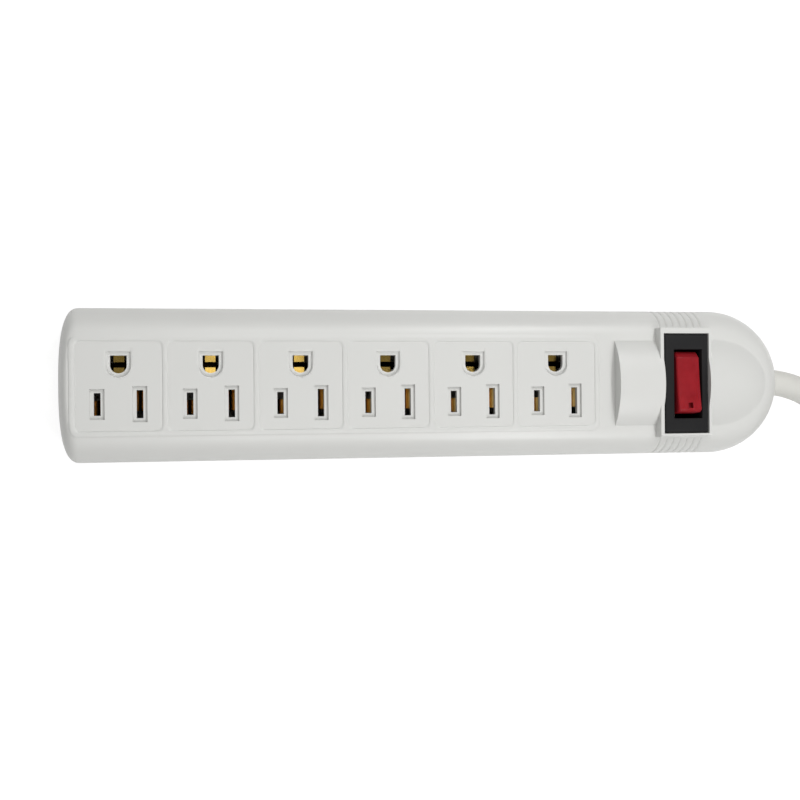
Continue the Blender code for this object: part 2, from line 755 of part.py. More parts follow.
def plunger(pivot):
    profile = ((0, -4.6), (1.25, -4.6), (1.25, -8.6), (0.95, -9.3), (0, -9.6))
    body = turned("plunger", [(r * MM, z * MM) for r, z in profile], WHITE, 0.4, 0.0, 16)
    hang(body, pivot)


def wire_object(name, points, radius, colour, roughness=0.5, metallic=0.0, resolution=2):
    curve = bpy.data.curves.new(name, "CURVE")
    curve.dimensions = "3D"
    curve.bevel_depth = radius
    curve.bevel_resolution = resolution
    curve.use_fill_caps = True
    spline = curve.splines.new("POLY")
    spline.points.add(len(points) - 1)
    for target, point in zip(spline.points, points):
        target.co = (*point, 1)
    obj = object_from(name, curve, PARTS)
    return finish_part(obj, colour, roughness, metallic)


def plunger_spring(pivot):
    turns = 3
    steps = 12
    points = []
    for i in range(turns * steps + 1):
        angle = 2 * math.pi * i / steps
        z = (-4.05 + 1.8 * i / (turns * steps)) * MM
        points.append((1.1 * MM * math.cos(angle), 1.1 * MM * math.sin(angle), z))
    spring = wire_object("plunger_spring", points, 0.18 * MM, STEEL, 0.3, 1.0, 1)
    hang(spring, pivot)


def contact_lever(fulcrum):
    bm = bmesh.new()
    box(bm, (-2.4 * MM, -7 * MM, 0.3 * MM), (2.4 * MM, 7 * MM, 0.9 * MM))
    lever = part("contact_lever", bm, BRASS, 0.3, 1.0)
    bm = bmesh.new()
    cylinder(bm, (0, 6 * MM, -0.2 * MM), (0, 0, 1), 1.1 * MM, 0.8 * MM, 16)
    join(lever, bm, "contact")
    hang(lever, fulcrum)


def rocker_pin():
    length = 12.2 * MM
    bm = bmesh.new()
    cylinder(bm, (SWITCH_X - length / 2, SWITCH_Y, PIVOT_Z), (1, 0, 0), PIN_RADIUS, length)
    part("rocker_pin", bm, STEEL, 0.3, 1.0)


def spline_through(points, per_span=4):
    """A smooth Catmull-Rom path through points given in millimetres."""
    knots = [Vector(p) * MM for p in points]
    knots = [2 * knots[0] - knots[1]] + knots + [2 * knots[-1] - knots[-2]]
    path = []
    for a, b, c, d in zip(knots, knots[1:], knots[2:], knots[3:]):
        for i in range(per_span):
            t = i / per_span
            path.append(0.5 * (2 * b + (c - a) * t + (2 * a - 5 * b + 4 * c - d) * t**2
                               + (3 * b - a - 3 * c + d) * t**3))
    path.append(knots[-2])
    return path


def wires():
    for name, colour, radius, points in WIRES:
        wire_object(name, spline_through(points), radius * MM, colour)


def cord_plan():
    """The cord's path seen from above, as (x, y, heading) in metres and radians."""
    x, y, heading = JACKET_START_X, 0.0, 0.0
    path = [(x, y, heading)]
    for straight, radius, angle in CORD_MOVES:
        if straight:
            steps = max(1, round(straight / 8))
            for _ in range(steps):
                x += straight * MM / steps * math.cos(heading)
                y += straight * MM / steps * math.sin(heading)
                path.append((x, y, heading))
            continue
        steps = round(abs(angle) / 11.25)
        turn = math.radians(angle) / steps
        chord = 2 * radius * MM * math.sin(abs(turn) / 2)
        for _ in range(steps):
            x += chord * math.cos(heading + turn / 2)
            y += chord * math.sin(heading + turn / 2)
            heading += turn
            path.append((x, y, heading))
    return path


def smooth_step(t):
    t = min(1.0, max(0.0, t))
    return t * t * (3 - 2 * t)


def cord_points():
    plan = cord_plan()
    travelled = [0.0]
    for (x0, y0, _), (x1, y1, _) in zip(plan, plan[1:]):
        travelled.append(travelled[-1] + math.hypot(x1 - x0, y1 - y0))
    total = travelled[-1]
    floor_z = CORD_RADIUS + CORD_LIFT
    sink_at, sink_length = LEVEL_STRIP_END
    rise_before, rise_length = LEVEL_PLUG_END
    points = []
    for (x, y, _), distance in zip(plan, travelled):
        from_strip = smooth_step((distance - sink_at) / sink_length)
        to_plug = smooth_step((distance - total + rise_before) / rise_length)
        z = SPLIT_Z + (floor_z - SPLIT_Z) * from_strip + (PLUG_Z - floor_z) * to_plug
        points.append((x, y, z))
    return points


def cord():
    wire_object("cord_jacket", cord_points(), CORD_RADIUS, IVORY, 0.55, 0.0, 3)


def plug_frame():
    """The end of the cord's path: where the plug's axis starts, pointing to -Y."""
    x, y, _ = cord_plan()[-1]
    return x, y + 7.6 * MM


def plug_point(s, q, n):
    x, y = plug_frame()
    return x + q, y - s, PLUG_Z + n


def plug_ring(s, half_q, half_n, radius):
    outline = rounded_rectangle((-half_q, half_q), (-half_n, half_n), radius)
    return [plug_point(s, q, n) for q, n in outline]


def plug_box(bm, s, q, n):
    a = plug_point(s[0], q[0], n[0])
    b = plug_point(s[1], q[1], n[1])
    box(bm, [min(p) for p in zip(a, b)], [max(p) for p in zip(a, b)])


def plug_sockets(bm, gap):
    for side in (-1, 1):
        q = (side * BLADE_Q - BLADE_HALF[0] - gap, side * BLADE_Q + BLADE_HALF[0] + gap)
        n = (BLADE_N - BLADE_HALF[1] - gap, BLADE_N + BLADE_HALF[1] + gap)
        plug_box(bm, (BLADE_START - gap, PLUG_LENGTH + 8 * MM), q, n)
    start = plug_point(BLADE_START - gap, 0, PIN_N)
    cylinder(bm, start, (0, -1, 0), PIN_R + gap, 14 * MM, 24)


def plug():
    bm = bmesh.new()
    loft(bm, [plug_ring(*(value * MM for value in section)) for section in PLUG_SECTIONS])
    body = part("plug_body", bm, IVORY, 0.55)
    bm = bmesh.new()
    start = plug_point(-MM, 0, 0)
    cylinder(bm, start, (0, -1, 0), CORD_RADIUS + GAP, 9 * MM, 32)
    cut(body, bm, "cord_bore")
    bm = bmesh.new()
    plug_sockets(bm, GAP)
    cut(body, bm, "sockets")

    bm = bmesh.new()
    low, high = PLUG_LENGTH + GAP, PLUG_LENGTH + 2.3 * MM
    loft(bm, [plug_ring(s, 11.4 * MM, 11.8 * MM, 4 * MM) for s in (low, high)])
    bridge = part("plug_bridge", bm, BLACK, 0.5)
    bm = bmesh.new()
    plug_sockets(bm, GAP)
    cut(bridge, bm, "sockets")

    for name, side in (("plug_line_blade", -1), ("plug_neutral_blade", 1)):
        bm = bmesh.new()
        q = (side * BLADE_Q - BLADE_HALF[0], side * BLADE_Q + BLADE_HALF[0])
        n = (BLADE_N - BLADE_HALF[1], BLADE_N + BLADE_HALF[1])
        tip = PLUG_LENGTH + 18.2 * MM
        plug_box(bm, (BLADE_START, tip), q, n)
        blade = part(name, bm, BRASS, 0.3, 1.0)
        bm = bmesh.new()
        start = plug_point(tip - 4.5 * MM, side * BLADE_Q - 3 * MM, BLADE_N)
        cylinder(bm, start, (1, 0, 0), 1.6 * MM, 6 * MM, 16)
        cut(blade, bm, "hole")

    profile = ((0, 27.5), (1.2, 27.2), (2.1, 26.2), (2.4, 24.8), (2.4, 0), (0, 0))
    pin = turned("plug_ground_pin", [(r * MM, z * MM) for r, z in profile], BRASS, 0.3, 1.0)
    place(pin, plug_point(BLADE_START, 0, PIN_N), (math.radians(90), 0, 0))


def build():
    base_cover()
    top_cover()
    screws()
    bus_bars()
    switch_case()
    terminals()
    lamp_parts()
    rocker_pin()
    pivot = empty_at("rocker_axis", (SWITCH_X, SWITCH_Y, PIVOT_Z), REST_TILT)
    rocker(pivot)
    plunger(pivot)
    plunger_spring(pivot)
    fulcrum = empty_at("lever_axis", (SWITCH_X, SWITCH_Y, LEVER_Z), LEVER_TILT)
    contact_lever(fulcrum)
    cord_clamp()
    wires()
    cord()
    plug()


build()
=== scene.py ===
"""Looks for the power strip: fine shells, materials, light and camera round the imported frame."""

import json
import math

import bmesh
import bpy
import numpy as np
from mathutils import Matrix, Vector


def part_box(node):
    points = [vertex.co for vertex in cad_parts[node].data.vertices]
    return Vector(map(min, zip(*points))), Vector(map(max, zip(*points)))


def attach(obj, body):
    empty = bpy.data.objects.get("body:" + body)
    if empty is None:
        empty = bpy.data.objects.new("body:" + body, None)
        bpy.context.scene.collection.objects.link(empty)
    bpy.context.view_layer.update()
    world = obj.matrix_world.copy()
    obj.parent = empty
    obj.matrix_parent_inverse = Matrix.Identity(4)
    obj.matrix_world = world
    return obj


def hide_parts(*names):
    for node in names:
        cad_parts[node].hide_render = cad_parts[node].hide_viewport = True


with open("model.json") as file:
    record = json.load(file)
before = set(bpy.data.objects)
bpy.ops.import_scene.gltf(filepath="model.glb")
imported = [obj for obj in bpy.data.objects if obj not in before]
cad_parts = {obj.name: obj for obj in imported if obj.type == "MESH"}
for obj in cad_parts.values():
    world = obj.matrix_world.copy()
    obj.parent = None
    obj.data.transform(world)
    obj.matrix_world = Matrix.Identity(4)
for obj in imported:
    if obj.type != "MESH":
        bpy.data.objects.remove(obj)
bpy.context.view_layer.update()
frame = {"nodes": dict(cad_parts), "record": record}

MM = 0.001
WELD = 0.000002  # points nearer than this, in metres, are one point
NODES = frame["nodes"]
COVER_LOW, COVER_HIGH = (np.array(corner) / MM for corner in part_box("top_cover"))

# Housing, in millimetres, in the frame's axes
BLUNT_END_X, ROUND_END_X = float(COVER_LOW[0]), float(COVER_HIGH[0])
HALF_WIDTH = float(COVER_HIGH[1])
FACE_Z = 27.0
SPLIT_Z = 13.0
WALL = 2.2
TOP_THICKNESS = 2.9
SHOULDER_WIDTH, SHOULDER_HEIGHT = 9.35, 11.0
BLUNT_DEPTH, BLUNT_SHOULDER, BLUNT_POWER = 6.6, 3.4, 2.7
SHOULDER_Z = FACE_Z - SHOULDER_HEIGHT
ROUND_X = ROUND_END_X - HALF_WIDTH
BLUNT_X = BLUNT_END_X + BLUNT_DEPTH

# Outlets
OUTLETS, PITCH, FIRST_X = 6, 27.78, -100.05
OUTLET_X = [FIRST_X + PITCH * i for i in range(OUTLETS)]
BLADE_OFFSET, BLADE_Y, GROUND_Y = 6.35, -5.95, 6.2
HOT_HALF, NEUTRAL_HALF, GROUND_HALF = (1.0, 3.45), (1.0, 4.3), (2.475, 2.725)
RECESS_MARGIN, RECESS_DEPTH = 1.15, 1.0
SQUARE_HALF, SQUARE_Y = (13.0, 13.65), -0.45
BEAD_WIDTH, BEAD_HEIGHT = 1.78, 0.3
FACE_CORNER, BAND_CORNER = 1.6, 2.8  # corner radii of the faces and of the bead round them all
FOOT_DEPTH, FOOT_WIDTH = 0.03, 0.16  # the fine groove at the bead's foot

# Saddle, switch frame and grip grooves
SADDLE_X0, SADDLE_X1, DOME_END_X = 58.9, 91.0, 112.6
SADDLE_RADIUS, SADDLE_RISE, SADDLE_Y = 20.7, 5.45, -0.4
FRAME_X, FRAME_Y = (73.25, 91.2), (-18.3, 17.7)
DOME_FILLET, DOME_SPREAD = 1.1, 1.06
DOME_END_POWER, DOME_FALL_POWER = 2.4, 1.7  # how the dome's plan and height close at its end
PLATE_Z, RECESS_Z = 31.0, 29.1
RECESS_X, RECESS_Y = (74.5, 90.2), (-17.1, 15.8)
HOLE_X, HOLE_Y = (76.4, 89.4), (-14.5, 12.9)
GROOVE_X, GROOVE_PITCH, GROOVES, GROOVE_DEPTH = 75.1, 2.39, 7, 0.42
GROOVE_WIDTH = 0.27
GROOVE_START, GROOVE_FOOT = (0.55, 0.35), (1.2, 0.8)  # clear of the frame and of the foot; fade
GAP = 0.3

# The cover's grid
STEP = 0.05  # half the plan width of a moulded vertical wall
GROUND_STEP = 0.12  # the same for the round wall of a ground hole's recess
GRID_PITCH, CLOSEST_LINES = 0.8, 0.03
SNAP = 0.17  # points this near a ground hole's edge are moved onto it
BLUNT_COLUMNS, ROUND_COLUMNS, SHOULDER_ROWS = 44, 52, 20
BESIDE_BEAD = (0.12, 0.3, 0.7, 1.2)  # grid lines inside a face's edge
THINNEST_WALL = 0.8


# ---------------------------------------------------------------- mesh helpers

def new_mesh_object(name, points, faces):
    mesh = bpy.data.meshes.new(name)
    mesh.from_pydata([tuple(p) for p in points], [], faces)
    mesh.update()
    obj = bpy.data.objects.new(name, mesh)
    bpy.context.scene.collection.objects.link(obj)
    return obj


def smooth(obj, angle):
    """Shade it smooth, with a crease wherever faces meet at more than the angle in degrees."""
    obj.data.shade_smooth()
    obj.data.set_sharp_from_angle(angle=math.radians(angle))
    return obj


def rise(distance, half_width):
    """A smooth step from 0 to 1 as the distance goes from -half_width to half_width."""
    t = np.clip(distance / (2 * half_width) + 0.5, 0, 1)
    return t * t * (3 - 2 * t)


def box_distance(x, y, centre, half, radius=0.0):
    """Signed distance to a rounded rectangle, negative inside."""
    dx = np.abs(x - centre[0]) - half[0] + radius
    dy = np.abs(y - centre[1]) - half[1] + radius
    outside = np.hypot(np.maximum(dx, 0), np.maximum(dy, 0))
    return outside + np.minimum(np.maximum(dx, dy), 0) - radius


def range_distance(x, y, x_range, y_range):
    """Signed distance to the rectangle over two ranges, negative inside."""
    centre = ((x_range[0] + x_range[1]) / 2, (y_range[0] + y_range[1]) / 2)
    half = ((x_range[1] - x_range[0]) / 2, (y_range[1] - y_range[0]) / 2)
    return box_distance(x, y, centre, half)


def ground_distance(x, y, centre_x, margin=0.0):
    """Signed distance to the ground hole: flat towards +Y, half round towards -Y."""
    half = GROUND_HALF[0] + margin
    top = GROUND_Y + GROUND_HALF[1] + margin
    centre_y = GROUND_Y - GROUND_HALF[1] - margin + half
    round_part = np.hypot(x - centre_x, y - centre_y) - half
    square_part = range_distance(x, y, (centre_x - half, centre_x + half), (centre_y, top))
    return np.minimum(round_part, square_part)


# ---------------------------------------------------------------- top cover

def merged(values):
    """The values in order, without those that nearly repeat the one before."""
    kept = []
    for value in sorted(values):
        if not kept or value - kept[-1] > CLOSEST_LINES:
            kept.append(value)
    return kept


def filled(lines, low, high, pitch):
    """The given lines, with evenly spaced ones between them no further apart than the pitch."""
    lines = merged([low, high] + [v for v in lines if low < v < high])
    result = [lines[0]]
    for a, b in zip(lines, lines[1:]):
        steps = max(1, math.ceil((b - a) / pitch - 1e-6))
        result += [a + (b - a) * k / steps for k in range(1, steps + 1)]
    return result


def edges_of(centre, half):
    return [centre - half - STEP, centre - half + STEP, centre + half - STEP, centre + half + STEP]


def bead_lines(edge, outwards):
    return [edge + outwards * BEAD_WIDTH * share for share in (0, 0.06, 0.16, 0.32, 0.5)]


def column_lines():
    """X of every line across the straight part of the cover."""
    lines = []
    for x in OUTLET_X:
        for centre, half in ((x - BLADE_OFFSET, HOT_HALF), (x + BLADE_OFFSET, NEUTRAL_HALF)):
            lines += edges_of(centre, half[0] + RECESS_MARGIN) + [centre - half[0], centre + half[0]]
        lines += edges_of(x, GROUND_HALF[0] + RECESS_MARGIN)
        lines += [x + k * GROUND_HALF[0] / 8 for k in range(-8, 9)]
        lines += [x + k * (GROUND_HALF[0] + RECESS_MARGIN) / 10 for k in range(-9, 10)]
        for side in (-1, 1):
            edge = x + side * SQUARE_HALF[0]
            lines += bead_lines(edge, side) + [edge - side * k for k in BESIDE_BEAD]
    first, last = OUTLET_X[0] - SQUARE_HALF[0], OUTLET_X[-1] + SQUARE_HALF[0]
    for edge, side in ((first, -1), (last, 1)):
        lines += [edge + side * BEAD_WIDTH * share for share in (0.68, 0.84, 0.94, 1.0)]
    lines += [last + BEAD_WIDTH + 0.15, SADDLE_X0 - STEP, SADDLE_X0 + STEP]
    for value in FRAME_X + RECESS_X:
        lines += [value - STEP, value + STEP]
    lines += list(HOLE_X)
    for k in range(GROOVES):
        centre = GROOVE_X + GROOVE_PITCH * k
        lines += [centre + d for d in (-0.42, -0.24, -0.1, 0.1, 0.24, 0.42)]
    return lines


def row_lines():
    """Y of every line along the flat part of the cover."""
    lines = []
    for half in (HOT_HALF, NEUTRAL_HALF):
        lines += edges_of(BLADE_Y, half[1] + RECESS_MARGIN) + [BLADE_Y - half[1], BLADE_Y + half[1]]
    top = GROUND_Y + GROUND_HALF[1]
    lines += [top, top + RECESS_MARGIN - STEP, top + RECESS_MARGIN + STEP]
    bottom = GROUND_Y - GROUND_HALF[1]
    lines += [bottom - RECESS_MARGIN + k * 0.28 for k in range(-1, 14)]
    for side in (-1, 1):
        edge = SQUARE_Y + side * SQUARE_HALF[1]
        lines += bead_lines(edge, side) + [edge - side * k for k in BESIDE_BEAD]
    lines += [RECESS_Y[0] + STEP, RECESS_Y[0] - STEP, HOLE_Y[0], HOLE_Y[1]]
    lines += [SADDLE_Y + side * SADDLE_HALF_CHORD for side in (-1, 1)]
    return lines


SADDLE_HALF_CHORD = math.sqrt(SADDLE_RADIUS**2 - (SADDLE_RADIUS - SADDLE_RISE) ** 2)
FLAT_HALF = HALF_WIDTH - SHOULDER_WIDTH


def round_rows():
    """Angles round the shoulder, from its foot to the flat top, with lines at the frame's edges."""
    special = []
    for edge in (-FRAME_Y[0], FRAME_Y[1], -RECESS_Y[0], RECESS_Y[1]):
        for y in (edge - STEP, edge + STEP):
            special.append(math.acos((y - FLAT_HALF) / SHOULDER_WIDTH))
    even = [math.radians(90 * k / SHOULDER_ROWS) for k in range(SHOULDER_ROWS + 1)]
    angles = sorted(even + special)
    kept = [0.0]
    for angle in angles[1:]:
        if angle - kept[-1] > 0.004:
            kept.append(angle)
    kept[-1] = math.pi / 2
    return kept


WALL_ROWS = ((SPLIT_Z + 0.15, 0.22), (SPLIT_Z + 0.37, 0.0), (SPLIT_Z + 1.0, 0.0), (14.9, 0.0))


def section_rows():
    """Rows across the cover from the +Y wall to the -Y wall.

    Each is (side, outer inset, outer z, inner inset, inner z, y share, angle); side 0 is the flat.
    """
    sides = []
    for z, inset in WALL_ROWS:
        sides.append((inset, z, WALL, z, None, 0.0))
    for angle in round_rows():
        fall = 1 - math.cos(angle)
        lift = math.sin(angle)
        inner_inset = WALL + (SHOULDER_WIDTH - WALL) * fall
        inner_z = SHOULDER_Z + (FACE_Z - TOP_THICKNESS - SHOULDER_Z) * lift
        outer_z = SHOULDER_Z + SHOULDER_HEIGHT * lift
        sides.append((SHOULDER_WIDTH * fall, outer_z, inner_inset, inner_z, None, angle))
    upper = [(1,) + row for row in sides]
    lower = [(-1,) + row for row in reversed(sides)]
    flat = []
    for y in filled(row_lines(), -FLAT_HALF, FLAT_HALF, GRID_PITCH)[-2:0:-1]:
        flat.append((0, SHOULDER_WIDTH, FACE_Z, SHOULDER_WIDTH, FACE_Z - TOP_THICKNESS,
                     y / FLAT_HALF, math.pi / 2))
    return upper + flat + lower


def section_columns():
    """Columns along the cover: (kind, value), where value is an x or an end's angle."""
    blunt = [("blunt", math.radians(90 * (1 - k / BLUNT_COLUMNS) ** 1.3))
             for k in range(BLUNT_COLUMNS)]
    straight = [("straight", x) for x in filled(column_lines(), BLUNT_X, ROUND_X, GRID_PITCH)]
    tip = [("round", math.radians(90 * k / ROUND_COLUMNS)) for k in range(1, ROUND_COLUMNS + 1)]
    return blunt + straight + tip


def column_point(kind, value, side, inset, share):
    """(x, y) of a row on a column, for a row at the given inset from the outline."""
    half = HALF_WIDTH - inset
    lateral = side * half if side else share * FLAT_HALF
    if kind == "straight":
        return value, lateral
    if kind == "round":
        return ROUND_X + half * math.sin(value), lateral * math.cos(value)
    power = 2 / BLUNT_POWER
    return BLUNT_X, lateral * math.cos(value) ** power


def cover_points(inner):
    """The cover's outer or inner surface as arrays (columns, rows)."""
    rows = section_rows()
    columns = section_columns()
    grid = np.zeros((len(columns), len(rows), 3))
    power = 2 / BLUNT_POWER
    for c, (kind, value) in enumerate(columns):
        for r, (side, out_inset, out_z, in_inset, in_z, share, angle) in enumerate(rows):
            inset, z = (in_inset, in_z) if inner else (out_inset, out_z)
            x, y = column_point(kind, value, side, inset, share)
            if kind == "blunt":
                if inner:
                    reach = BLUNT_DEPTH - WALL - (BLUNT_SHOULDER - WALL) * (1 - math.cos(angle))
                elif out_z < SHOULDER_Z:
                    reach = BLUNT_DEPTH - inset
                else:
                    reach = BLUNT_DEPTH - BLUNT_SHOULDER * (1 - math.cos(angle))
                x = BLUNT_X - reach * math.sin(value) ** power
            grid[c, r] = (x, y, z)
    angles = np.array([row[6] for row in rows])
    sides = np.array([row[0] for row in rows])
    return grid, angles, sides


def nearest_outlet(x):
    index = np.clip(np.round((x - FIRST_X) / PITCH), 0, OUTLETS - 1)
    return FIRST_X + PITCH * index


def bead_height(x, y):
    """The rounded bead between and around the outlet faces."""
    centre = nearest_outlet(x)
    middle = (OUTLET_X[0] + OUTLET_X[-1]) / 2
    reach = (OUTLET_X[-1] - OUTLET_X[0]) / 2 + SQUARE_HALF[0] + BEAD_WIDTH
    half_height = SQUARE_HALF[1] + BEAD_WIDTH
    outer = box_distance(x, y, (middle, SQUARE_Y), (reach, half_height), BAND_CORNER)
    square = box_distance(x, y, (centre, SQUARE_Y), SQUARE_HALF, FACE_CORNER)
    edge = np.minimum(square, -outer)
    across = np.clip(edge / (BEAD_WIDTH / 2), 0, 1)
    bead = BEAD_HEIGHT * np.sqrt(1 - (1 - across) ** 2)
    foot = FOOT_DEPTH * np.exp(-((edge / FOOT_WIDTH) ** 2))
    return bead - foot


def hole_distances(x, y):
    """Signed distances to the nearest hot slot, neutral slot and ground hole."""
    centre = nearest_outlet(x)
    hot = box_distance(x, y, (centre - BLADE_OFFSET, BLADE_Y), HOT_HALF)
    neutral = box_distance(x, y, (centre + BLADE_OFFSET, BLADE_Y), NEUTRAL_HALF)
    ground = ground_distance(x, y, centre)
    return hot, neutral, ground


def recess_depth(x, y):
    """How far the shallow recesses round the slots and ground holes are sunk."""
    centre = nearest_outlet(x)
    hot_half = (HOT_HALF[0] + RECESS_MARGIN, HOT_HALF[1] + RECESS_MARGIN)
    neutral_half = (NEUTRAL_HALF[0] + RECESS_MARGIN, NEUTRAL_HALF[1] + RECESS_MARGIN)
    hot = box_distance(x, y, (centre - BLADE_OFFSET, BLADE_Y), hot_half)
    neutral = box_distance(x, y, (centre + BLADE_OFFSET, BLADE_Y), neutral_half)
    ground = ground_distance(x, y, centre, RECESS_MARGIN)
    walls = np.maximum(1 - rise(hot, STEP), 1 - rise(neutral, STEP))
    return RECESS_DEPTH * np.maximum(walls, 1 - rise(ground, GROUND_STEP))


def arch_height(y):
    """The saddle's circular arch above the flat top."""
    inside = np.maximum(SADDLE_RADIUS**2 - (y - SADDLE_Y) ** 2, 0)
    return np.maximum(np.sqrt(inside) - (SADDLE_RADIUS - SADDLE_RISE), 0)


def dome_height(x, y):
    """The saddle's arch, shrinking towards the rounded end."""
    along = np.clip((x - SADDLE_X1) / (DOME_END_X - SADDLE_X1), 0, 1)
    share = np.sqrt(np.maximum(1 - along**DOME_END_POWER, 1e-6))
    arch = arch_height(SADDLE_Y + (y - SADDLE_Y) / (share * DOME_SPREAD))
    height = arch * share**DOME_FALL_POWER
    return height**2 / (height + DOME_FILLET) * (1 + DOME_FILLET / SADDLE_RISE)


def shaped_height(x, y, z):
    """The height of the cover's outer surface over (x, y), from its plain height z."""
    z = z + bead_height(x, y) - recess_depth(x, y)
    arch = arch_height(y)
    on_saddle = rise(x - SADDLE_X0, STEP) * (x <= SADDLE_X1)
    z = z + arch * on_saddle + dome_height(x, y) * (x > SADDLE_X1)
    frame_top = np.maximum(PLATE_Z, FACE_Z + arch)
    in_frame = 1 - rise(range_distance(x, y, FRAME_X, FRAME_Y), STEP)
    z = z + (frame_top - z) * in_frame
    in_recess = 1 - rise(range_distance(x, y, RECESS_X, RECESS_Y), STEP)
    return z + (RECESS_Z - z) * in_recess


def groove_depth(x, y, z):
    """The depth of the grip grooves, which start beside the switch frame and run down the sides."""
    nearest = np.clip(np.round((x - GROOVE_X) / GROOVE_PITCH), 0, GROOVES - 1)
    phase = x - GROOVE_X - GROOVE_PITCH * nearest
    profile = np.exp(-((phase / GROOVE_WIDTH) ** 2))
    clear = np.where(y > 0, y - FRAME_Y[1], FRAME_Y[0] - y)
    start = rise(clear - GROOVE_START[0], GROOVE_START[1])
    foot = rise(z - SPLIT_Z - GROOVE_FOOT[0], GROOVE_FOOT[1])
    return GROOVE_DEPTH * profile * (start * foot)


def opening_cells(centres):
    """Which grid cells, by their centres, lie over a slot, a ground hole or the switch hole."""
    x, y = centres[..., 0], centres[..., 1]
    hot, neutral, ground = hole_distances(x, y)
    switch = range_distance(x, y, HOLE_X, HOLE_Y)
    near_outlets = np.abs(x - nearest_outlet(x)) < PITCH / 2
    holes = (np.minimum(np.minimum(hot, neutral), ground) < 0) & near_outlets
    return holes | (switch < 0)


def snapped_to_ground_holes(grid, flat):
    """Move the points next to a ground hole's edge exactly onto it."""
    x, y = grid[..., 0], grid[..., 1]
    centre = nearest_outlet(x)
    distance = ground_distance(x, y, centre)
    delta = 0.01
    slope_x = (ground_distance(x + delta, y, centre) - distance) / delta
    slope_y = (ground_distance(x, y + delta, centre) - distance) / delta
    near = (np.abs(distance) < SNAP) & flat[None, :] & (y < GROUND_Y)
    x[near] -= (distance * slope_x)[near]
    y[near] -= (distance * slope_y)[near]


def grid_shell(name, outer, inner, holes):
    """A closed shell from two matching grids, open where holes is true, walled at every edge."""
    columns, rows = outer.shape[:2]
    count = columns * rows
    index = np.arange(count).reshape(columns, rows)
    a, b = index[:-1, :-1], index[1:, :-1]
    c, d = index[1:, 1:], index[:-1, 1:]
    kept = ~holes
    quads = np.stack([a, b, c, d], axis=-1)[kept]
    faces = [tuple(q) for q in quads[:, ::-1].tolist()]
    faces += [tuple(q) for q in (quads + count).tolist()]
    solid = np.zeros((columns + 1, rows + 1), bool)
    solid[1:-1, 1:-1] = kept
    for axis in (0, 1):
        first = solid[:-1, 1:-1] if axis == 0 else solid[1:-1, :-1]
        second = solid[1:, 1:-1] if axis == 0 else solid[1:-1, 1:]
        for i, j in np.argwhere(first != second):
            if axis == 0 and i in (0, columns - 1):
                continue  # the two sides meet here and close the shell by merging
            if axis == 0:
                p, q = index[i, j], index[i, j + 1]
            else:
                p, q = index[i, j], index[i + 1, j]
            faces.append((int(p), int(q), int(q) + count, int(p) + count))
    points = np.concatenate([outer.reshape(-1, 3), inner.reshape(-1, 3)]) * MM
    obj = new_mesh_object(name, points, faces)
    bm = bmesh.new()
    bm.from_mesh(obj.data)
    bmesh.ops.remove_doubles(bm, verts=bm.verts, dist=WELD)
    bmesh.ops.dissolve_degenerate(bm, edges=bm.edges, dist=0.000001)
    loose = [v for v in bm.verts if not v.link_faces]
    bmesh.ops.delete(bm, geom=loose, context="VERTS")
    bmesh.ops.recalc_face_normals(bm, faces=bm.faces)
    bm.to_mesh(obj.data)
    bm.free()
    return obj


def top_cover():
    """The upper shell: the shaped grid, its openings and the hole for the cord."""
    outer, angles, sides = cover_points(False)
    inner, _, _ = cover_points(True)
    flat = sides == 0
    snapped_to_ground_holes(outer, flat)
    inner[:, flat, :2] = outer[:, flat, :2]
    centres = (outer[:-1, :-1] + outer[1:, :-1] + outer[1:, 1:] + outer[:-1, 1:]) / 4
    holes = opening_cells(centres) & (centres[..., 2] > FACE_Z - 4)
    x, y, z = outer[..., 0], outer[..., 1], outer[..., 2].copy()
    depth = groove_depth(x, y, z)
    tilt_y = np.cos(angles) / SHOULDER_WIDTH
    tilt_z = np.sin(angles) / SHOULDER_HEIGHT
    length = np.hypot(tilt_y, tilt_z)
    outer[..., 2] = np.where(z > SHOULDER_Z, shaped_height(x, y, z), z)
    outer[..., 1] -= depth * sides[None, :] * (tilt_y / length)[None, :]
    outer[..., 2] -= depth * (tilt_z / length)[None, :]
    inner[..., 2] = np.minimum(inner[..., 2], outer[..., 2] - THINNEST_WALL)
    cover = grid_shell("top_shell", outer, inner, holes)
    tool = bmesh.new()
    cylinder_at(tool, (ROUND_END_X - 7, 0, SPLIT_Z), (1, 0, 0), CORD_RADIUS + GAP, 14)
    cut(cover, tool)
    return stands_for(cover, "top_cover", "housing", 40)


# ---------------------------------------------------------------- materials

def shader_material(name):
    """A new material, its node tree and its Principled node."""
    made = bpy.data.materials.new(name)
    made.use_nodes = True
    tree = made.node_tree
    return made, tree, tree.nodes["Principled BSDF"]


def add_node(tree, kind, **inputs):
    node = tree.nodes.new(kind)
    for key, value in inputs.items():
        node.inputs[key.replace("_", " ")].default_value = value
    return node


def noise(tree, scale, detail):
    """A noise texture in the object's own coordinates; scale is in cycles per metre."""
    coordinates = tree.nodes.new("ShaderNodeTexCoord")
    node = add_node(tree, "ShaderNodeTexNoise", Scale=scale, Detail=detail, Roughness=0.55)
    tree.links.new(coordinates.outputs["Object"], node.inputs["Vector"])
    return node


def ramp(tree, source, low, high, colour_low, colour_high):
    """A blend from one colour to the other as the source goes from low to high."""
    node = tree.nodes.new("ShaderNodeValToRGB")
    node.color_ramp.elements[0].position = low
    node.color_ramp.elements[1].position = high
    node.color_ramp.elements[0].color = colour_low
    node.color_ramp.elements[1].color = colour_high
    tree.links.new(source, node.inputs["Fac"])
    return node


def value_range(tree, source, low, high):
    """The source, which goes from 0 to 1, stretched to go from low to high."""
    node = add_node(tree, "ShaderNodeMapRange")
    node.inputs["To Min"].default_value = low
    node.inputs["To Max"].default_value = high
    tree.links.new(source, node.inputs["Value"])
    return node


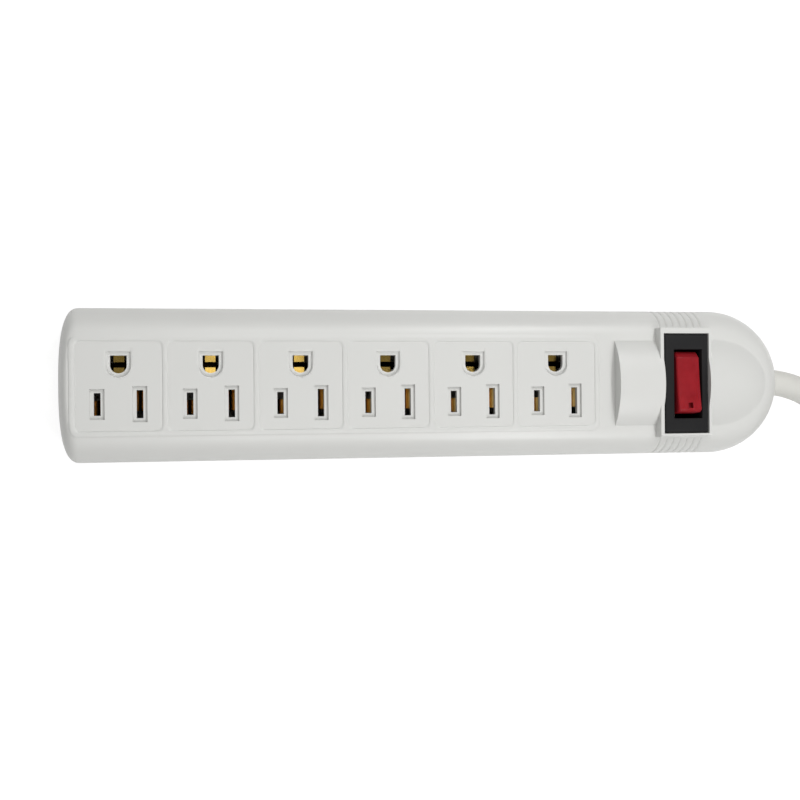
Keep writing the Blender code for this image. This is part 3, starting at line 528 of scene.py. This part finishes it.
def bump(tree, shader, source, distance, strength):
    node = add_node(tree, "ShaderNodeBump", Strength=strength, Distance=distance)
    tree.links.new(source, node.inputs["Height"])
    tree.links.new(node.outputs["Normal"], shader.inputs["Normal"])
    return node


GLOSS_SPREAD = 0.02


def moulded_plastic(name, colour, roughness, grain, grain_depth, spread, specular=0.5):
    """Moulded plastic: cloudy colour, a fine spark-eroded grain and uneven gloss."""
    made, tree, shader = shader_material(name)
    cloud = noise(tree, 28, 3)
    dark = tuple(c * (1 - spread) for c in colour) + (1,)
    light = tuple(min(1, c * (1 + spread)) for c in colour) + (1,)
    tint = ramp(tree, cloud.outputs["Fac"], 0.35, 0.65, dark, light)
    tree.links.new(tint.outputs["Color"], shader.inputs["Base Color"])
    gloss = noise(tree, 160, 5)
    shine = value_range(tree, gloss.outputs["Fac"], roughness - GLOSS_SPREAD,
                        roughness + GLOSS_SPREAD)
    tree.links.new(shine.outputs["Result"], shader.inputs["Roughness"])
    shader.inputs["Specular IOR Level"].default_value = specular
    fine = noise(tree, grain, 2)
    bump(tree, shader, fine.outputs["Fac"], grain_depth, 0.5)
    return made


def metal(name, colour, roughness, streak=(8.0, 1.0, 1.0), tarnish=0.25, painted_shade_heights=None):
    """Rolled sheet metal: stretched streaks in the gloss and patches of tarnish.

    With painted_shade_heights = (low, high), in metres, it paints shade: the colour darkens from the
    height high down to the height low, as shade deep in the slots.
    """
    made, tree, shader = shader_material(name)
    shader.inputs["Metallic"].default_value = 1.0
    patches = noise(tree, 180, 5)
    dull = tuple(c * (1 - tarnish) for c in colour) + (1,)
    tint = ramp(tree, patches.outputs["Fac"], 0.35, 0.7, dull, colour + (1,))
    coordinates = tree.nodes.new("ShaderNodeTexCoord")
    # Painted shade: the base colour is scaled down towards the bottom, standing in for the shade deep in
    # the slots
    if painted_shade_heights:
        split = tree.nodes.new("ShaderNodeSeparateXYZ")
        tree.links.new(coordinates.outputs["Object"], split.inputs["Vector"])
        level = value_range(tree, split.outputs["Z"], 0.03, 1.0)
        level.inputs["From Min"].default_value, level.inputs["From Max"].default_value = painted_shade_heights
        shade = tree.nodes.new("ShaderNodeVectorMath")
        shade.operation = "SCALE"
        tree.links.new(tint.outputs["Color"], shade.inputs["Vector"])
        tree.links.new(level.outputs["Result"], shade.inputs["Scale"])
        tree.links.new(shade.outputs["Vector"], shader.inputs["Base Color"])
    else:
        tree.links.new(tint.outputs["Color"], shader.inputs["Base Color"])
    stretch = tree.nodes.new("ShaderNodeMapping")
    stretch.inputs["Scale"].default_value = streak
    tree.links.new(coordinates.outputs["Object"], stretch.inputs["Vector"])
    lines = add_node(tree, "ShaderNodeTexNoise", Scale=900.0, Detail=3.0)
    tree.links.new(stretch.outputs["Vector"], lines.inputs["Vector"])
    shine = value_range(tree, lines.outputs["Fac"], roughness - 0.06, roughness + 0.08)
    tree.links.new(shine.outputs["Result"], shader.inputs["Roughness"])
    bump(tree, shader, lines.outputs["Fac"], 0.000004, 0.4)
    return made


def clear_red(name):
    """Translucent red plastic: deep red with a soft inner scatter and a satin skin."""
    made, tree, shader = shader_material(name)
    cloud = noise(tree, 240, 3)
    tint = ramp(tree, cloud.outputs["Fac"], 0.3, 0.7, (0.225, 0.009, 0.014, 1), (0.275, 0.013, 0.019, 1))
    tree.links.new(tint.outputs["Color"], shader.inputs["Base Color"])
    gloss = noise(tree, 700, 3)
    shine = value_range(tree, gloss.outputs["Fac"], 0.3, 0.42)
    tree.links.new(shine.outputs["Result"], shader.inputs["Roughness"])
    shader.inputs["Specular IOR Level"].default_value = 0.09
    shader.inputs["Subsurface Weight"].default_value = 0.3
    shader.inputs["Subsurface Radius"].default_value = (1.0, 0.1, 0.08)
    shader.inputs["Subsurface Scale"].default_value = 0.0012
    bump(tree, shader, gloss.outputs["Fac"], 0.000006, 0.4)
    return made


def lamp_glass(name):
    """Clear, faintly orange glass."""
    made, tree, shader = shader_material(name)
    shader.inputs["Transmission Weight"].default_value = 0.85
    shader.inputs["Roughness"].default_value = 0.05
    swirl = noise(tree, 500, 2)
    tint = ramp(tree, swirl.outputs["Fac"], 0.3, 0.7, (0.9, 0.6, 0.4, 1), (0.95, 0.75, 0.6, 1))
    tree.links.new(tint.outputs["Color"], shader.inputs["Base Color"])
    return made


IVORY = (0.578, 0.580, 0.563)
SHEATH = (0.56, 0.556, 0.525)
MATERIALS = {
    "ivory_plastic": moulded_plastic("cover_ivory", IVORY, 0.32, 2200, 0.000004, 0.01, 0.3),
    "base_plastic": moulded_plastic("base_ivory", SHEATH, 0.5, 1500, 0.00005, 0.02),
    "black_plastic": moulded_plastic("switch_black", (0.0135, 0.0135, 0.014), 0.6, 2600, 0.00003,
                                     0.15, 0.12),
    "red_lens": clear_red("rocker_red"),
    "brass": metal("blade_brass", (0.86, 0.60, 0.22), 0.24),
    "steel": metal("zinc_steel", (0.62, 0.61, 0.58), 0.3, (1.0, 1.0, 5.0), 0.2),
    "white_plastic": moulded_plastic("nylon_white", (0.75, 0.74, 0.7), 0.5, 1800, 0.00003, 0.03),
    "cord_jacket": moulded_plastic("cord_ivory", SHEATH, 0.5, 1300, 0.00004, 0.02, 0.3),
    "plug_plastic": moulded_plastic("plug_ivory", SHEATH, 0.5, 1300, 0.00004, 0.02, 0.3),
    "wire_black": moulded_plastic("wire_black", (0.02, 0.02, 0.02), 0.45, 1800, 0.00002, 0.2),
    "wire_white": moulded_plastic("wire_white", (0.75, 0.75, 0.72), 0.45, 1800, 0.00002, 0.04),
    "wire_green": moulded_plastic("wire_green", (0.02, 0.22, 0.07), 0.45, 1800, 0.00002, 0.15),
    "lamp_glass": lamp_glass("lamp_glass"),
    "resistor": moulded_plastic("resistor_tan", (0.5, 0.36, 0.2), 0.35, 1800, 0.00002, 0.1),
}
BUS_BARS = {
    # The line and neutral contacts' brass gets painted shade that darkens it towards the bottom of the
    # slots
    "line_bus_bar": metal("contact_brass", (1.0, 0.67, 0.25), 0.38, tarnish=0.15,
                          painted_shade_heights=(0.008, 0.0185)),
    # The ground bar's brass is painted much darker than the other contacts as painted shade in the
    # ground holes; it also darkens towards the bottom as painted shade
    "ground_bus_bar": metal("ground_brass_painted_shade", (0.27, 0.18, 0.045), 0.15, tarnish=0.3,
                            painted_shade_heights=(0.008, 0.0165)),
}
BUS_BARS["neutral_bus_bar"] = BUS_BARS["line_bus_bar"]


def dress(obj, slot):
    obj.data.materials.clear()
    obj.data.materials.append(MATERIALS[slot])
    return obj


def dress_frame():
    """Give every carried-over CAD node the material of its slot."""
    for name, obj in NODES.items():
        dress(obj, SLOTS[name])
        smooth(obj, 32)
    for name, brass in BUS_BARS.items():
        NODES[name].data.materials[0] = brass


# ---------------------------------------------------------------- finer copies of CAD nodes

SLOTS = {entry["node"]: entry["material_slot"] for entry in frame["record"]["subparts"]}


def welded_copy(node):
    """The CAD node's shape with whole flat faces in place of its triangles, ready for rounding."""
    mesh = NODES[node].data.copy()
    if "custom_normal" in mesh.attributes:
        mesh.attributes.remove(mesh.attributes["custom_normal"])
    obj = bpy.data.objects.new(node + "_fine", mesh)
    bpy.context.scene.collection.objects.link(obj)
    bm = bmesh.new()
    bm.from_mesh(mesh)
    bmesh.ops.remove_doubles(bm, verts=bm.verts, dist=WELD)
    bmesh.ops.dissolve_limit(bm, angle_limit=math.radians(0.6), verts=bm.verts, edges=bm.edges)
    return obj, bm


def is_sharp(edge, least):
    """Whether the edge is an outer one that turns by more than the angle, in degrees."""
    if len(edge.link_faces) != 2 or not edge.is_convex:
        return False
    return edge.calc_face_angle() > math.radians(least)


def edge_points(edge):
    return [vert.co / MM for vert in edge.verts]


def round_edges(bm, chosen, offset, segments):
    """Round every edge that the test picks, by the offset in millimetres."""
    edges = [edge for edge in bm.edges if chosen(edge)]
    if edges:
        bmesh.ops.bevel(bm, geom=edges, offset=offset * MM, offset_type="OFFSET",
                        segments=segments, profile=0.5, affect="EDGES", clamp_overlap=True)


def stands_for(obj, node, body="housing", angle=32):
    """Put the piece on its body in place of the CAD node, with the node's finish."""
    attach(obj, body)
    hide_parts(node)
    dress(obj, SLOTS[node])
    return smooth(obj, angle)


def write_mesh(obj, bm):
    bmesh.ops.recalc_face_normals(bm, faces=bm.faces)
    bm.to_mesh(obj.data)
    bm.free()


def softened(node, offset, body="housing"):
    """The CAD node with every sharp outer edge rounded."""
    obj, bm = welded_copy(node)
    round_edges(bm, lambda edge: is_sharp(edge, 40), offset, 2)
    write_mesh(obj, bm)
    return stands_for(obj, node, body)


def cut(obj, bm):
    """Cut the shape in bm out of the object, and keep the result as its own mesh."""
    bmesh.ops.recalc_face_normals(bm, faces=bm.faces)
    mesh = bpy.data.meshes.new("tool")
    bm.to_mesh(mesh)
    bm.free()
    tool = bpy.data.objects.new("tool", mesh)
    bpy.context.scene.collection.objects.link(tool)
    modifier = obj.modifiers.new("tool", "BOOLEAN")
    modifier.operation = "DIFFERENCE"
    modifier.solver = "EXACT"
    modifier.object = tool
    graph = bpy.context.evaluated_depsgraph_get()
    result = bpy.data.meshes.new_from_object(obj.evaluated_get(graph))
    obj.modifiers.clear()
    obj.data = result
    bpy.data.objects.remove(tool, do_unlink=True)


def box_at(bm, centre, half):
    matrix = Matrix.Translation([c * MM for c in centre]) @ Matrix.Diagonal(
        [2 * h * MM for h in half] + [1])
    bmesh.ops.create_cube(bm, size=1, matrix=matrix)


def cylinder_at(bm, start, axis, radius, length):
    turn = Vector((0, 0, 1)).rotation_difference(Vector(axis)).to_matrix().to_4x4()
    matrix = Matrix.Translation([c * MM for c in start]) @ turn @ Matrix.Translation(
        (0, 0, length * MM / 2))
    bmesh.ops.create_cone(bm, cap_ends=True, segments=48, radius1=radius * MM,
                          radius2=radius * MM, depth=length * MM, matrix=matrix)


# ---------------------------------------------------------------- switch

SWITCH_X, SWITCH_Y, PIVOT_Z = (value / MM for value in next(
    joint["pos_m"] for joint in frame["record"]["behaviour"]["joints"]
    if joint["name"] == "rocker_tilt"))
REST_TILT = math.radians(-6.5)
PLATE_X, PLATE_Y = (74.7, 90.0), (-16.9, 15.6)
ROCKER_HALF_X, ROCKER_HALF_Y, ROCKER_MIDDLE = 4.05, 10.1, 6.4
ROCKER_SLOPE = 2.1  # length of the sloped end that is pressed at rest
CREASE_ROUND, END_ROUND, SLOPE_ROUND, SIDE_ROUND = 4.5, 1.5, 0.3, 0.8
MARK_CENTRE, MARK_HALF = (0.1, -7.9, ROCKER_MIDDLE + 0.5), (0.8, 0.9, 1.6)
CLOSE = 0.03  # how near, in millimetres, a point has to be to count as on a plane


def near(value, *targets):
    return any(abs(value - target) < CLOSE for target in targets)


def on_plate_rim(edge):
    a, b = edge_points(edge)
    if not (near(a.z, PLATE_Z) and near(b.z, PLATE_Z)):
        return False
    along_x = near(a.x, *PLATE_X) and near(b.x, *PLATE_X) and near(a.x, b.x)
    along_y = near(a.y, *PLATE_Y) and near(b.y, *PLATE_Y) and near(a.y, b.y)
    return along_x or along_y


def on_opening_rim(edge):
    a, b = edge_points(edge)
    level = near(a.z, PLATE_Z) and near(b.z, PLATE_Z)
    return level and is_sharp(edge, 60) and abs(a.y - SWITCH_Y) < 11.6 and abs(a.x - SWITCH_X) < 5.2


def switch_case():
    obj, bm = welded_copy("switch_case")
    round_edges(bm, on_opening_rim, 0.28, 3)
    round_edges(bm, on_plate_rim, 0.75, 3)
    write_mesh(obj, bm)
    return stands_for(obj, "switch_case")


def on_crease(edge):
    return all(abs(p.y) < CLOSE and near(p.z, ROCKER_MIDDLE) for p in edge_points(edge))


def on_rocker_end(edge, y):
    a, b = edge_points(edge)
    across = near(a.y, y) and near(b.y, y)
    return across and near(a.z, b.z) and min(a.z, b.z) > ROCKER_MIDDLE - 0.5


def on_rocker_side(edge):
    a, b = edge_points(edge)
    along = near(a.x, b.x) and near(abs(a.x), ROCKER_HALF_X)
    return along and a.z + b.z > 2.4 and is_sharp(edge, 50)


def rocker():
    """The lens: a softly bent top, one round and one sloped end, round sides, engraved mark."""
    obj, bm = welded_copy("rocker")
    pivot = Matrix.Translation((SWITCH_X * MM, SWITCH_Y * MM, PIVOT_Z * MM))
    to_frame = pivot @ Matrix.Rotation(REST_TILT, 4, "X")
    bmesh.ops.transform(bm, matrix=to_frame.inverted(), verts=bm.verts)
    round_edges(bm, on_crease, CREASE_ROUND, 12)
    round_edges(bm, lambda edge: on_rocker_end(edge, -ROCKER_HALF_Y), END_ROUND, 6)
    round_edges(bm, lambda edge: on_rocker_end(edge, ROCKER_HALF_Y), ROCKER_SLOPE, 1)
    slope_edge = ROCKER_HALF_Y - ROCKER_SLOPE
    round_edges(bm, lambda edge: on_rocker_end(edge, slope_edge), SLOPE_ROUND, 3)
    round_edges(bm, on_rocker_side, SIDE_ROUND, 4)
    write_mesh(obj, bm)
    mark = bmesh.new()
    box_at(mark, MARK_CENTRE, MARK_HALF)
    cut(obj, mark)
    obj.data.transform(to_frame)
    return stands_for(obj, "rocker", "rocker", 26)


# ---------------------------------------------------------------- base cover

BASE_TOP_Z = 12.85


def on_base_rim(edge):
    a, b = edge_points(edge)
    level = near(a.z, b.z) and near(a.z, 0, BASE_TOP_Z)
    return level and is_sharp(edge, 60)


def base_cover():
    obj, bm = welded_copy("base_cover")
    round_edges(bm, on_base_rim, 0.25, 2)
    write_mesh(obj, bm)
    return stands_for(obj, "base_cover")


# ---------------------------------------------------------------- screws

HOUSING_SCREW = (1.4, 2.7, 17.0)  # shaft radius, head radius, length
CLAMP_SCREW = (1.1, 2.0, 14.0)
THREAD_PITCH, THREAD_DEPTH, HEAD_THICKNESS = 1.1, 0.22, 1.8
CROSS_HALF_WIDTH, CROSS_DEPTH = 0.36, 1.0
CROSS_TURN = 0.7  # radians from one screw's cross to the next one's


def screw_profile(shaft, head, length):
    """(radius, height) from the head's top, at height 0, down the threaded shaft to the point."""
    points = [(0, 0), (head * 0.6, 0), (head * 0.8, -0.08), (head * 0.94, -0.3), (head, -0.65),
              (head, -HEAD_THICKNESS + 0.15), (head - 0.15, -HEAD_THICKNESS),
              (shaft - THREAD_DEPTH, -HEAD_THICKNESS)]
    z = -HEAD_THICKNESS - 0.4
    while z - THREAD_PITCH > -length + shaft:
        points += [(shaft - THREAD_DEPTH, z), (shaft, z - THREAD_PITCH * 0.3)]
        z -= THREAD_PITCH * 0.6
        points.append((shaft - THREAD_DEPTH, z))
        z -= THREAD_PITCH * 0.4
    return points + [(shaft - THREAD_DEPTH, -length + shaft), (0, -length)]


def screw_mesh(name, size):
    """A screw with its head's top at the origin, pointing down, with a cross recess."""
    segments = 32
    profile = screw_profile(*size)
    points = []
    for radius, z in profile:
        for k in range(segments):
            turn = 2 * math.pi * k / segments
            points.append((radius * MM * math.cos(turn), radius * MM * math.sin(turn), z * MM))
    faces = []
    for row in range(len(profile) - 1):
        for k in range(segments):
            j = (k + 1) % segments
            a, b = row * segments, (row + 1) * segments
            faces.append((a + k, b + k, b + j, a + j))
    obj = new_mesh_object(name, points, faces)
    bm = bmesh.new()
    bm.from_mesh(obj.data)
    bmesh.ops.remove_doubles(bm, verts=bm.verts, dist=WELD)
    write_mesh(obj, bm)
    slot = bmesh.new()
    reach = size[1] * 0.62
    box_at(slot, (0, 0, 0), (reach, CROSS_HALF_WIDTH, CROSS_DEPTH))
    cut(obj, slot)
    slot = bmesh.new()
    box_at(slot, (0, 0, 0), (CROSS_HALF_WIDTH, reach, CROSS_DEPTH))
    cut(obj, slot)
    return obj


def screws():
    """One fine screw of each size, set in place of every CAD screw of that size."""
    for prefix, size, count, flip in (("housing_screw", HOUSING_SCREW, 6, True),
                                      ("clamp_screw", CLAMP_SCREW, 2, False)):
        model = screw_mesh(prefix + "_model", size)
        for number in range(1, count + 1):
            node = f"{prefix}_{number}"
            low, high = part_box(node)
            obj = bpy.data.objects.new(node + "_fine", model.data.copy())
            bpy.context.scene.collection.objects.link(obj)
            spin = Matrix.Rotation(CROSS_TURN * number, 4, "Z")
            turn = Matrix.Rotation(math.pi if flip else 0, 4, "X") @ spin
            x, y = (low[0] + high[0]) / 2, (low[1] + high[1]) / 2
            obj.data.transform(Matrix.Translation((x, y, low[2] if flip else high[2])) @ turn)
            stands_for(obj, node)
        bpy.data.objects.remove(model, do_unlink=True)


# ---------------------------------------------------------------- cord and plug

CORD_RADIUS, JACKET_START_X, CORD_SIDES = 4.4, 98.6, 40
CORD_MOVES = ((19.3, 0, 0), (0, 42, -90), (32, 0, 0), (0, 20, 180), (120, 0, 0), (0, 20, -180),
              (58, 0, 0))  # straight length, or bend radius and angle in degrees
CORD_STRIDE, CORD_TURN = 2.5, 3.75  # about one step along a straight, in mm, or a bend, in degrees
FLOOR_Z, PLUG_Z = CORD_RADIUS + 0.05, 13.45
SINK_AT, SINK_LENGTH = 22.0, 62.0  # where the cord starts to sink, and over what length
RISE_BEFORE, RISE_LENGTH = 58.0, 48.0  # how far before its end it rises, and over what length


def cord_plan():
    """The cord's path from above, in small even steps."""
    x, y, heading = JACKET_START_X, 0.0, 0.0
    path = [(x, y)]
    for straight, radius, angle in CORD_MOVES:
        steps = round(straight / CORD_STRIDE) if straight else round(abs(angle) / CORD_TURN)
        turn = math.radians(angle) / steps
        stride = straight / steps if straight else 2 * radius * math.sin(abs(turn) / 2)
        for _ in range(steps):
            x += stride * math.cos(heading + turn / 2)
            y += stride * math.sin(heading + turn / 2)
            heading += turn
            path.append((x, y))
    return path


def smooth_step(t):
    t = min(1.0, max(0.0, t))
    return t * t * (3 - 2 * t)


def cord_path():
    """The cord's centre line: level with the strip's parting line, down to the floor, up again."""
    plan = cord_plan()
    travelled = [0.0]
    for (x0, y0), (x1, y1) in zip(plan, plan[1:]):
        travelled.append(travelled[-1] + math.hypot(x1 - x0, y1 - y0))
    path = []
    for (x, y), distance in zip(plan, travelled):
        sunk = smooth_step((distance - SINK_AT) / SINK_LENGTH)
        lifted = smooth_step((distance - travelled[-1] + RISE_BEFORE) / RISE_LENGTH)
        z = SPLIT_Z + (FLOOR_Z - SPLIT_Z) * sunk + (PLUG_Z - FLOOR_Z) * lifted
        path.append(Vector((x, y, z)))
    return path


def skin(name, rings):
    """A closed surface over rings of equal length, capped at both ends."""
    count = len(rings[0])
    points = [Vector(point) * MM for ring in rings for point in ring]
    faces = []
    for row in range(len(rings) - 1):
        a, b = row * count, (row + 1) * count
        faces += [(a + k, a + (k + 1) % count, b + (k + 1) % count, b + k) for k in range(count)]
    faces.append(tuple(range(count))[::-1])
    faces.append(tuple(range(len(points) - count, len(points))))
    obj = new_mesh_object(name, points, faces)
    bm = bmesh.new()
    bm.from_mesh(obj.data)
    write_mesh(obj, bm)
    return obj


def cord():
    """The jacket as a round tube along the path, cut off square at both ends."""
    path = cord_path()
    rings = []
    for index, point in enumerate(path):
        along = (path[min(index + 1, len(path) - 1)] - path[max(index - 1, 0)]).normalized()
        side = Vector((0, 0, 1)).cross(along).normalized()
        up = along.cross(side)
        ring = []
        for k in range(CORD_SIDES):
            a = 2 * math.pi * k / CORD_SIDES
            ring.append(point + CORD_RADIUS * (side * math.cos(a) + up * math.sin(a)))
        rings.append(ring)
    return stands_for(skin("cord_fine", rings), "cord_jacket")


PLUG_SECTIONS = ((0, 6.6, 6.6, 6.3), (9, 7.2, 7.2, 6.5), (13, 9.5, 9.5, 7), (18, 12.4, 12.6, 6),
                 (24, 13, 13.4, 5), (34, 13, 13.4, 5))  # along, half widths, corner radius
RELIEF_GROOVES, RELIEF_DEPTH, RELIEF_WIDTH = (1.9, 3.5, 5.1, 6.7, 8.3), 0.55, 0.36
GRIP_GROOVES, GRIP_DEPTH, GRIP_WIDTH = (20.5, 22.5, 24.5, 26.5, 28.5), 0.4, 0.42
PLUG_EDGE = 0.7  # radius of the rounded front edge
PLUG_RINGS = 170


def plug_section(s):
    """Half widths and corner radius at the distance s along the plug."""
    stations = [section[0] for section in PLUG_SECTIONS]
    index = max(i for i, station in enumerate(stations[:-1]) if station <= s + 1e-9)
    first, second = PLUG_SECTIONS[index], PLUG_SECTIONS[index + 1]
    t = smooth_step((s - first[0]) / (second[0] - first[0]))
    return [a + (b - a) * t for a, b in zip(first[1:], second[1:])]


def plug_outline(half_q, half_n, radius):
    """A rounded rectangle round the plug's axis, as points going round it."""
    steps = 8
    points = []
    for corner in range(4):
        sign_q = 1 if corner in (0, 3) else -1
        sign_n = 1 if corner in (0, 1) else -1
        for k in range(steps + 1):
            angle = math.radians(90 * corner + 90 * k / steps)
            points.append((sign_q * (half_q - radius) + radius * math.cos(angle),
                           sign_n * (half_n - radius) + radius * math.sin(angle)))
    return points


def plug():
    """The moulded plug: strain-relief rings on its neck, a grooved grip and a rounded front edge."""
    low, high = (np.array(corner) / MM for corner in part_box("plug_body"))
    middle_x, back_y, middle_z = (low[0] + high[0]) / 2, high[1], (low[2] + high[2]) / 2
    length = PLUG_SECTIONS[-1][0]
    rings = []
    for k in range(PLUG_RINGS + 1):
        s = length * k / PLUG_RINGS
        half_q, half_n, radius = plug_section(s)
        relief = sum(RELIEF_DEPTH * math.exp(-((s - g) / RELIEF_WIDTH) ** 2) for g in RELIEF_GROOVES)
        grip = sum(GRIP_DEPTH * math.exp(-((s - g) / GRIP_WIDTH) ** 2) for g in GRIP_GROOVES)
        past = max(0.0, (s - length + PLUG_EDGE) / PLUG_EDGE)
        edge = PLUG_EDGE * (1 - math.sqrt(max(0.0, 1 - past**2)))
        half_q -= relief + grip + edge
        half_n -= relief + edge
        outline = plug_outline(half_q, half_n, min(radius, half_q - 0.1, half_n - 0.1))
        rings.append([(middle_x + q, back_y - s, middle_z + n) for q, n in outline])
    return stands_for(skin("plug_fine", rings), "plug_body", "housing", 40)


# ---------------------------------------------------------------- inside of the top cover

BOSS_X, BOSS_Y = (-105.0, -28.0, 52.0), 17.3
BOSS_OUTER, BOSS_INNER, BOSS_LOW, BOSS_HIGH = 3.2, 1.7, SPLIT_Z + 0.15, SPLIT_Z + 7.95
BOSS_SIDES = 32


def circle_verts(bm, centre, radius, z):
    verts = []
    for k in range(BOSS_SIDES):
        turn = math.tau * k / BOSS_SIDES
        x, y = centre[0] + radius * math.cos(turn), centre[1] + radius * math.sin(turn)
        verts.append(bm.verts.new((x * MM, y * MM, z * MM)))
    return verts


def bosses():
    """The screw bosses under the top cover."""
    bm = bmesh.new()
    for x in BOSS_X:
        for y in (-BOSS_Y, BOSS_Y):
            loops = []
            for radius, z in ((BOSS_OUTER, BOSS_LOW), (BOSS_OUTER, BOSS_HIGH),
                              (BOSS_INNER, BOSS_HIGH), (BOSS_INNER, BOSS_LOW)):
                loops.append(circle_verts(bm, (x, y), radius, z))
            for a, b in zip(loops, loops[1:] + loops[:1]):
                for k in range(BOSS_SIDES):
                    j = (k + 1) % BOSS_SIDES
                    bm.faces.new((a[k], a[j], b[j], b[k]))
    obj = new_mesh_object("cover_bosses", [], [])
    write_mesh(obj, bm)
    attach(obj, "housing")
    dress(obj, "ivory_plastic")
    return smooth(obj, 35)


# ---------------------------------------------------------------- stage

BOUNCE, CAMERA_SHARE, FLOOR_GLOW = 0.9, 0.25, 0.93
FLOOR_DROP = 0.0004  # metres from the strip's underside down to the floor
SKY_LOW, SKY_HIGH, SKY_TOP = 0.42, 0.5, 0.9  # strength at the horizon and from SKY_TOP's height up


def stage():
    """A pale floor just under the strip."""
    mesh = bpy.data.meshes.new("floor")
    bm = bmesh.new()
    bmesh.ops.create_grid(bm, x_segments=1, y_segments=1, size=3.0)
    bm.to_mesh(mesh)
    bm.free()
    floor = bpy.data.objects.new("floor", mesh)
    bpy.context.scene.collection.objects.link(floor)
    floor.location.z = -FLOOR_DROP
    floor.data.materials.append(floor_paper())


def floor_paper():
    """White paper with a faint mottle, lit from below like a light table as far as a camera sees it.

    Towards the strip it is plain pale paper, which throws the light back onto its sides.
    """
    made, tree, shader = shader_material("floor_paper")
    paper = noise(tree, 60, 4)
    tint = ramp(tree, paper.outputs["Fac"], 0.3, 0.7, (0.90, 0.90, 0.90, 1), (0.94, 0.94, 0.94, 1))
    shader.inputs["Roughness"].default_value = 0.9
    shader.inputs["Specular IOR Level"].default_value = 0.0
    path = tree.nodes.new("ShaderNodeLightPath")
    dim = value_range(tree, path.outputs["Is Camera Ray"], BOUNCE, CAMERA_SHARE)
    scaled = tree.nodes.new("ShaderNodeVectorMath")
    scaled.operation = "SCALE"
    tree.links.new(tint.outputs["Color"], scaled.inputs["Vector"])
    tree.links.new(dim.outputs["Result"], scaled.inputs["Scale"])
    tree.links.new(scaled.outputs["Vector"], shader.inputs["Base Color"])
    glow = value_range(tree, path.outputs["Is Camera Ray"], 0.0, FLOOR_GLOW)
    tree.links.new(tint.outputs["Color"], shader.inputs["Emission Color"])
    tree.links.new(glow.outputs["Result"], shader.inputs["Emission Strength"])
    return made


def area_light(name, location, target, size, power):
    data = bpy.data.lights.new(name, "AREA")
    data.shape = "RECTANGLE"
    data.size, data.size_y = size
    data.energy = power
    obj = bpy.data.objects.new(name, data)
    bpy.context.scene.collection.objects.link(obj)
    obj.location = location
    direction = Vector(target) - Vector(location)
    obj.rotation_euler = direction.to_track_quat("-Z", "Y").to_euler()
    return obj


STRIP_Z = 0.45
STRIP_LIGHTS = (  # name, x, distance to the side, size and power
    ("right_strip", 0.18, 0.38, (0.05, 0.26), 1.15),
    ("left_strip", -0.026, 0.27, (0.08, 0.26), 0.36),
)


def lights():
    """Two strip lights on each side, so that no level face mirrors them, and a weak one above."""
    for side in (-1, 1):
        for name, x, y, size, power in STRIP_LIGHTS:
            place = (x, side * y, STRIP_Z)
            area_light(f"{name}_{side}", place, (x / 2, 0.0, 0.0), size, power)
    area_light("overhead", (0.09, 0.0, 0.7), (0.09, 0.0, 0.0), (0.3, 0.3), 0.22)
    sky()


def sky():
    """Even light from above that falls off a little towards the horizon."""
    world = bpy.data.worlds.new("studio")
    bpy.context.scene.world = world
    world.use_nodes = True
    tree = world.node_tree
    background = tree.nodes["Background"]
    background.inputs["Color"].default_value = (1.0, 0.997, 0.99, 1)
    coordinates = tree.nodes.new("ShaderNodeTexCoord")
    split = tree.nodes.new("ShaderNodeSeparateXYZ")
    tree.links.new(coordinates.outputs["Generated"], split.inputs["Vector"])
    level = value_range(tree, split.outputs["Z"], SKY_LOW, SKY_HIGH)
    level.inputs["From Max"].default_value = SKY_TOP
    tree.links.new(level.outputs["Result"], background.inputs["Strength"])


CAMERA_AT = (-55.17 - 30.6, -6.9, 373.55 + FACE_Z)
CAMERA_RIGHT = Vector((0.98156, -0.00909, 0.19096))
CAMERA_UP = Vector((0.00814, 0.99995, 0.00575))
LENS, SENSOR = 54.0, 36.0


def camera():
    """The photograph's viewpoint, high above the strip's middle."""
    data = bpy.data.cameras.new("camera")
    data.lens = LENS
    data.sensor_width = SENSOR
    data.clip_start = 0.01
    obj = bpy.data.objects.new("camera", data)
    bpy.context.scene.collection.objects.link(obj)
    right = CAMERA_RIGHT.normalized()
    back = right.cross(CAMERA_UP).normalized()
    up = back.cross(right)
    obj.matrix_world = Matrix.Translation(Vector(CAMERA_AT) * MM) @ Matrix(
        (right, up, back)).transposed().to_4x4()
    bpy.context.scene.camera = obj


# ---------------------------------------------------------------- build

dress_frame()
top_cover()
bosses()
base_cover()
switch_case()
rocker()
screws()
cord()
plug()
for small_node in ("line_in_terminal", "line_out_terminal", "lamp_terminal", "cord_clamp"):
    softened(small_node, 0.15)
for plug_node in ("plug_bridge", "plug_line_blade", "plug_neutral_blade"):
    softened(plug_node, 0.25)
softened("contact_lever", 0.12, "lever")
stage()
lights()
camera()
bpy.context.scene.view_settings.view_transform = "Standard"
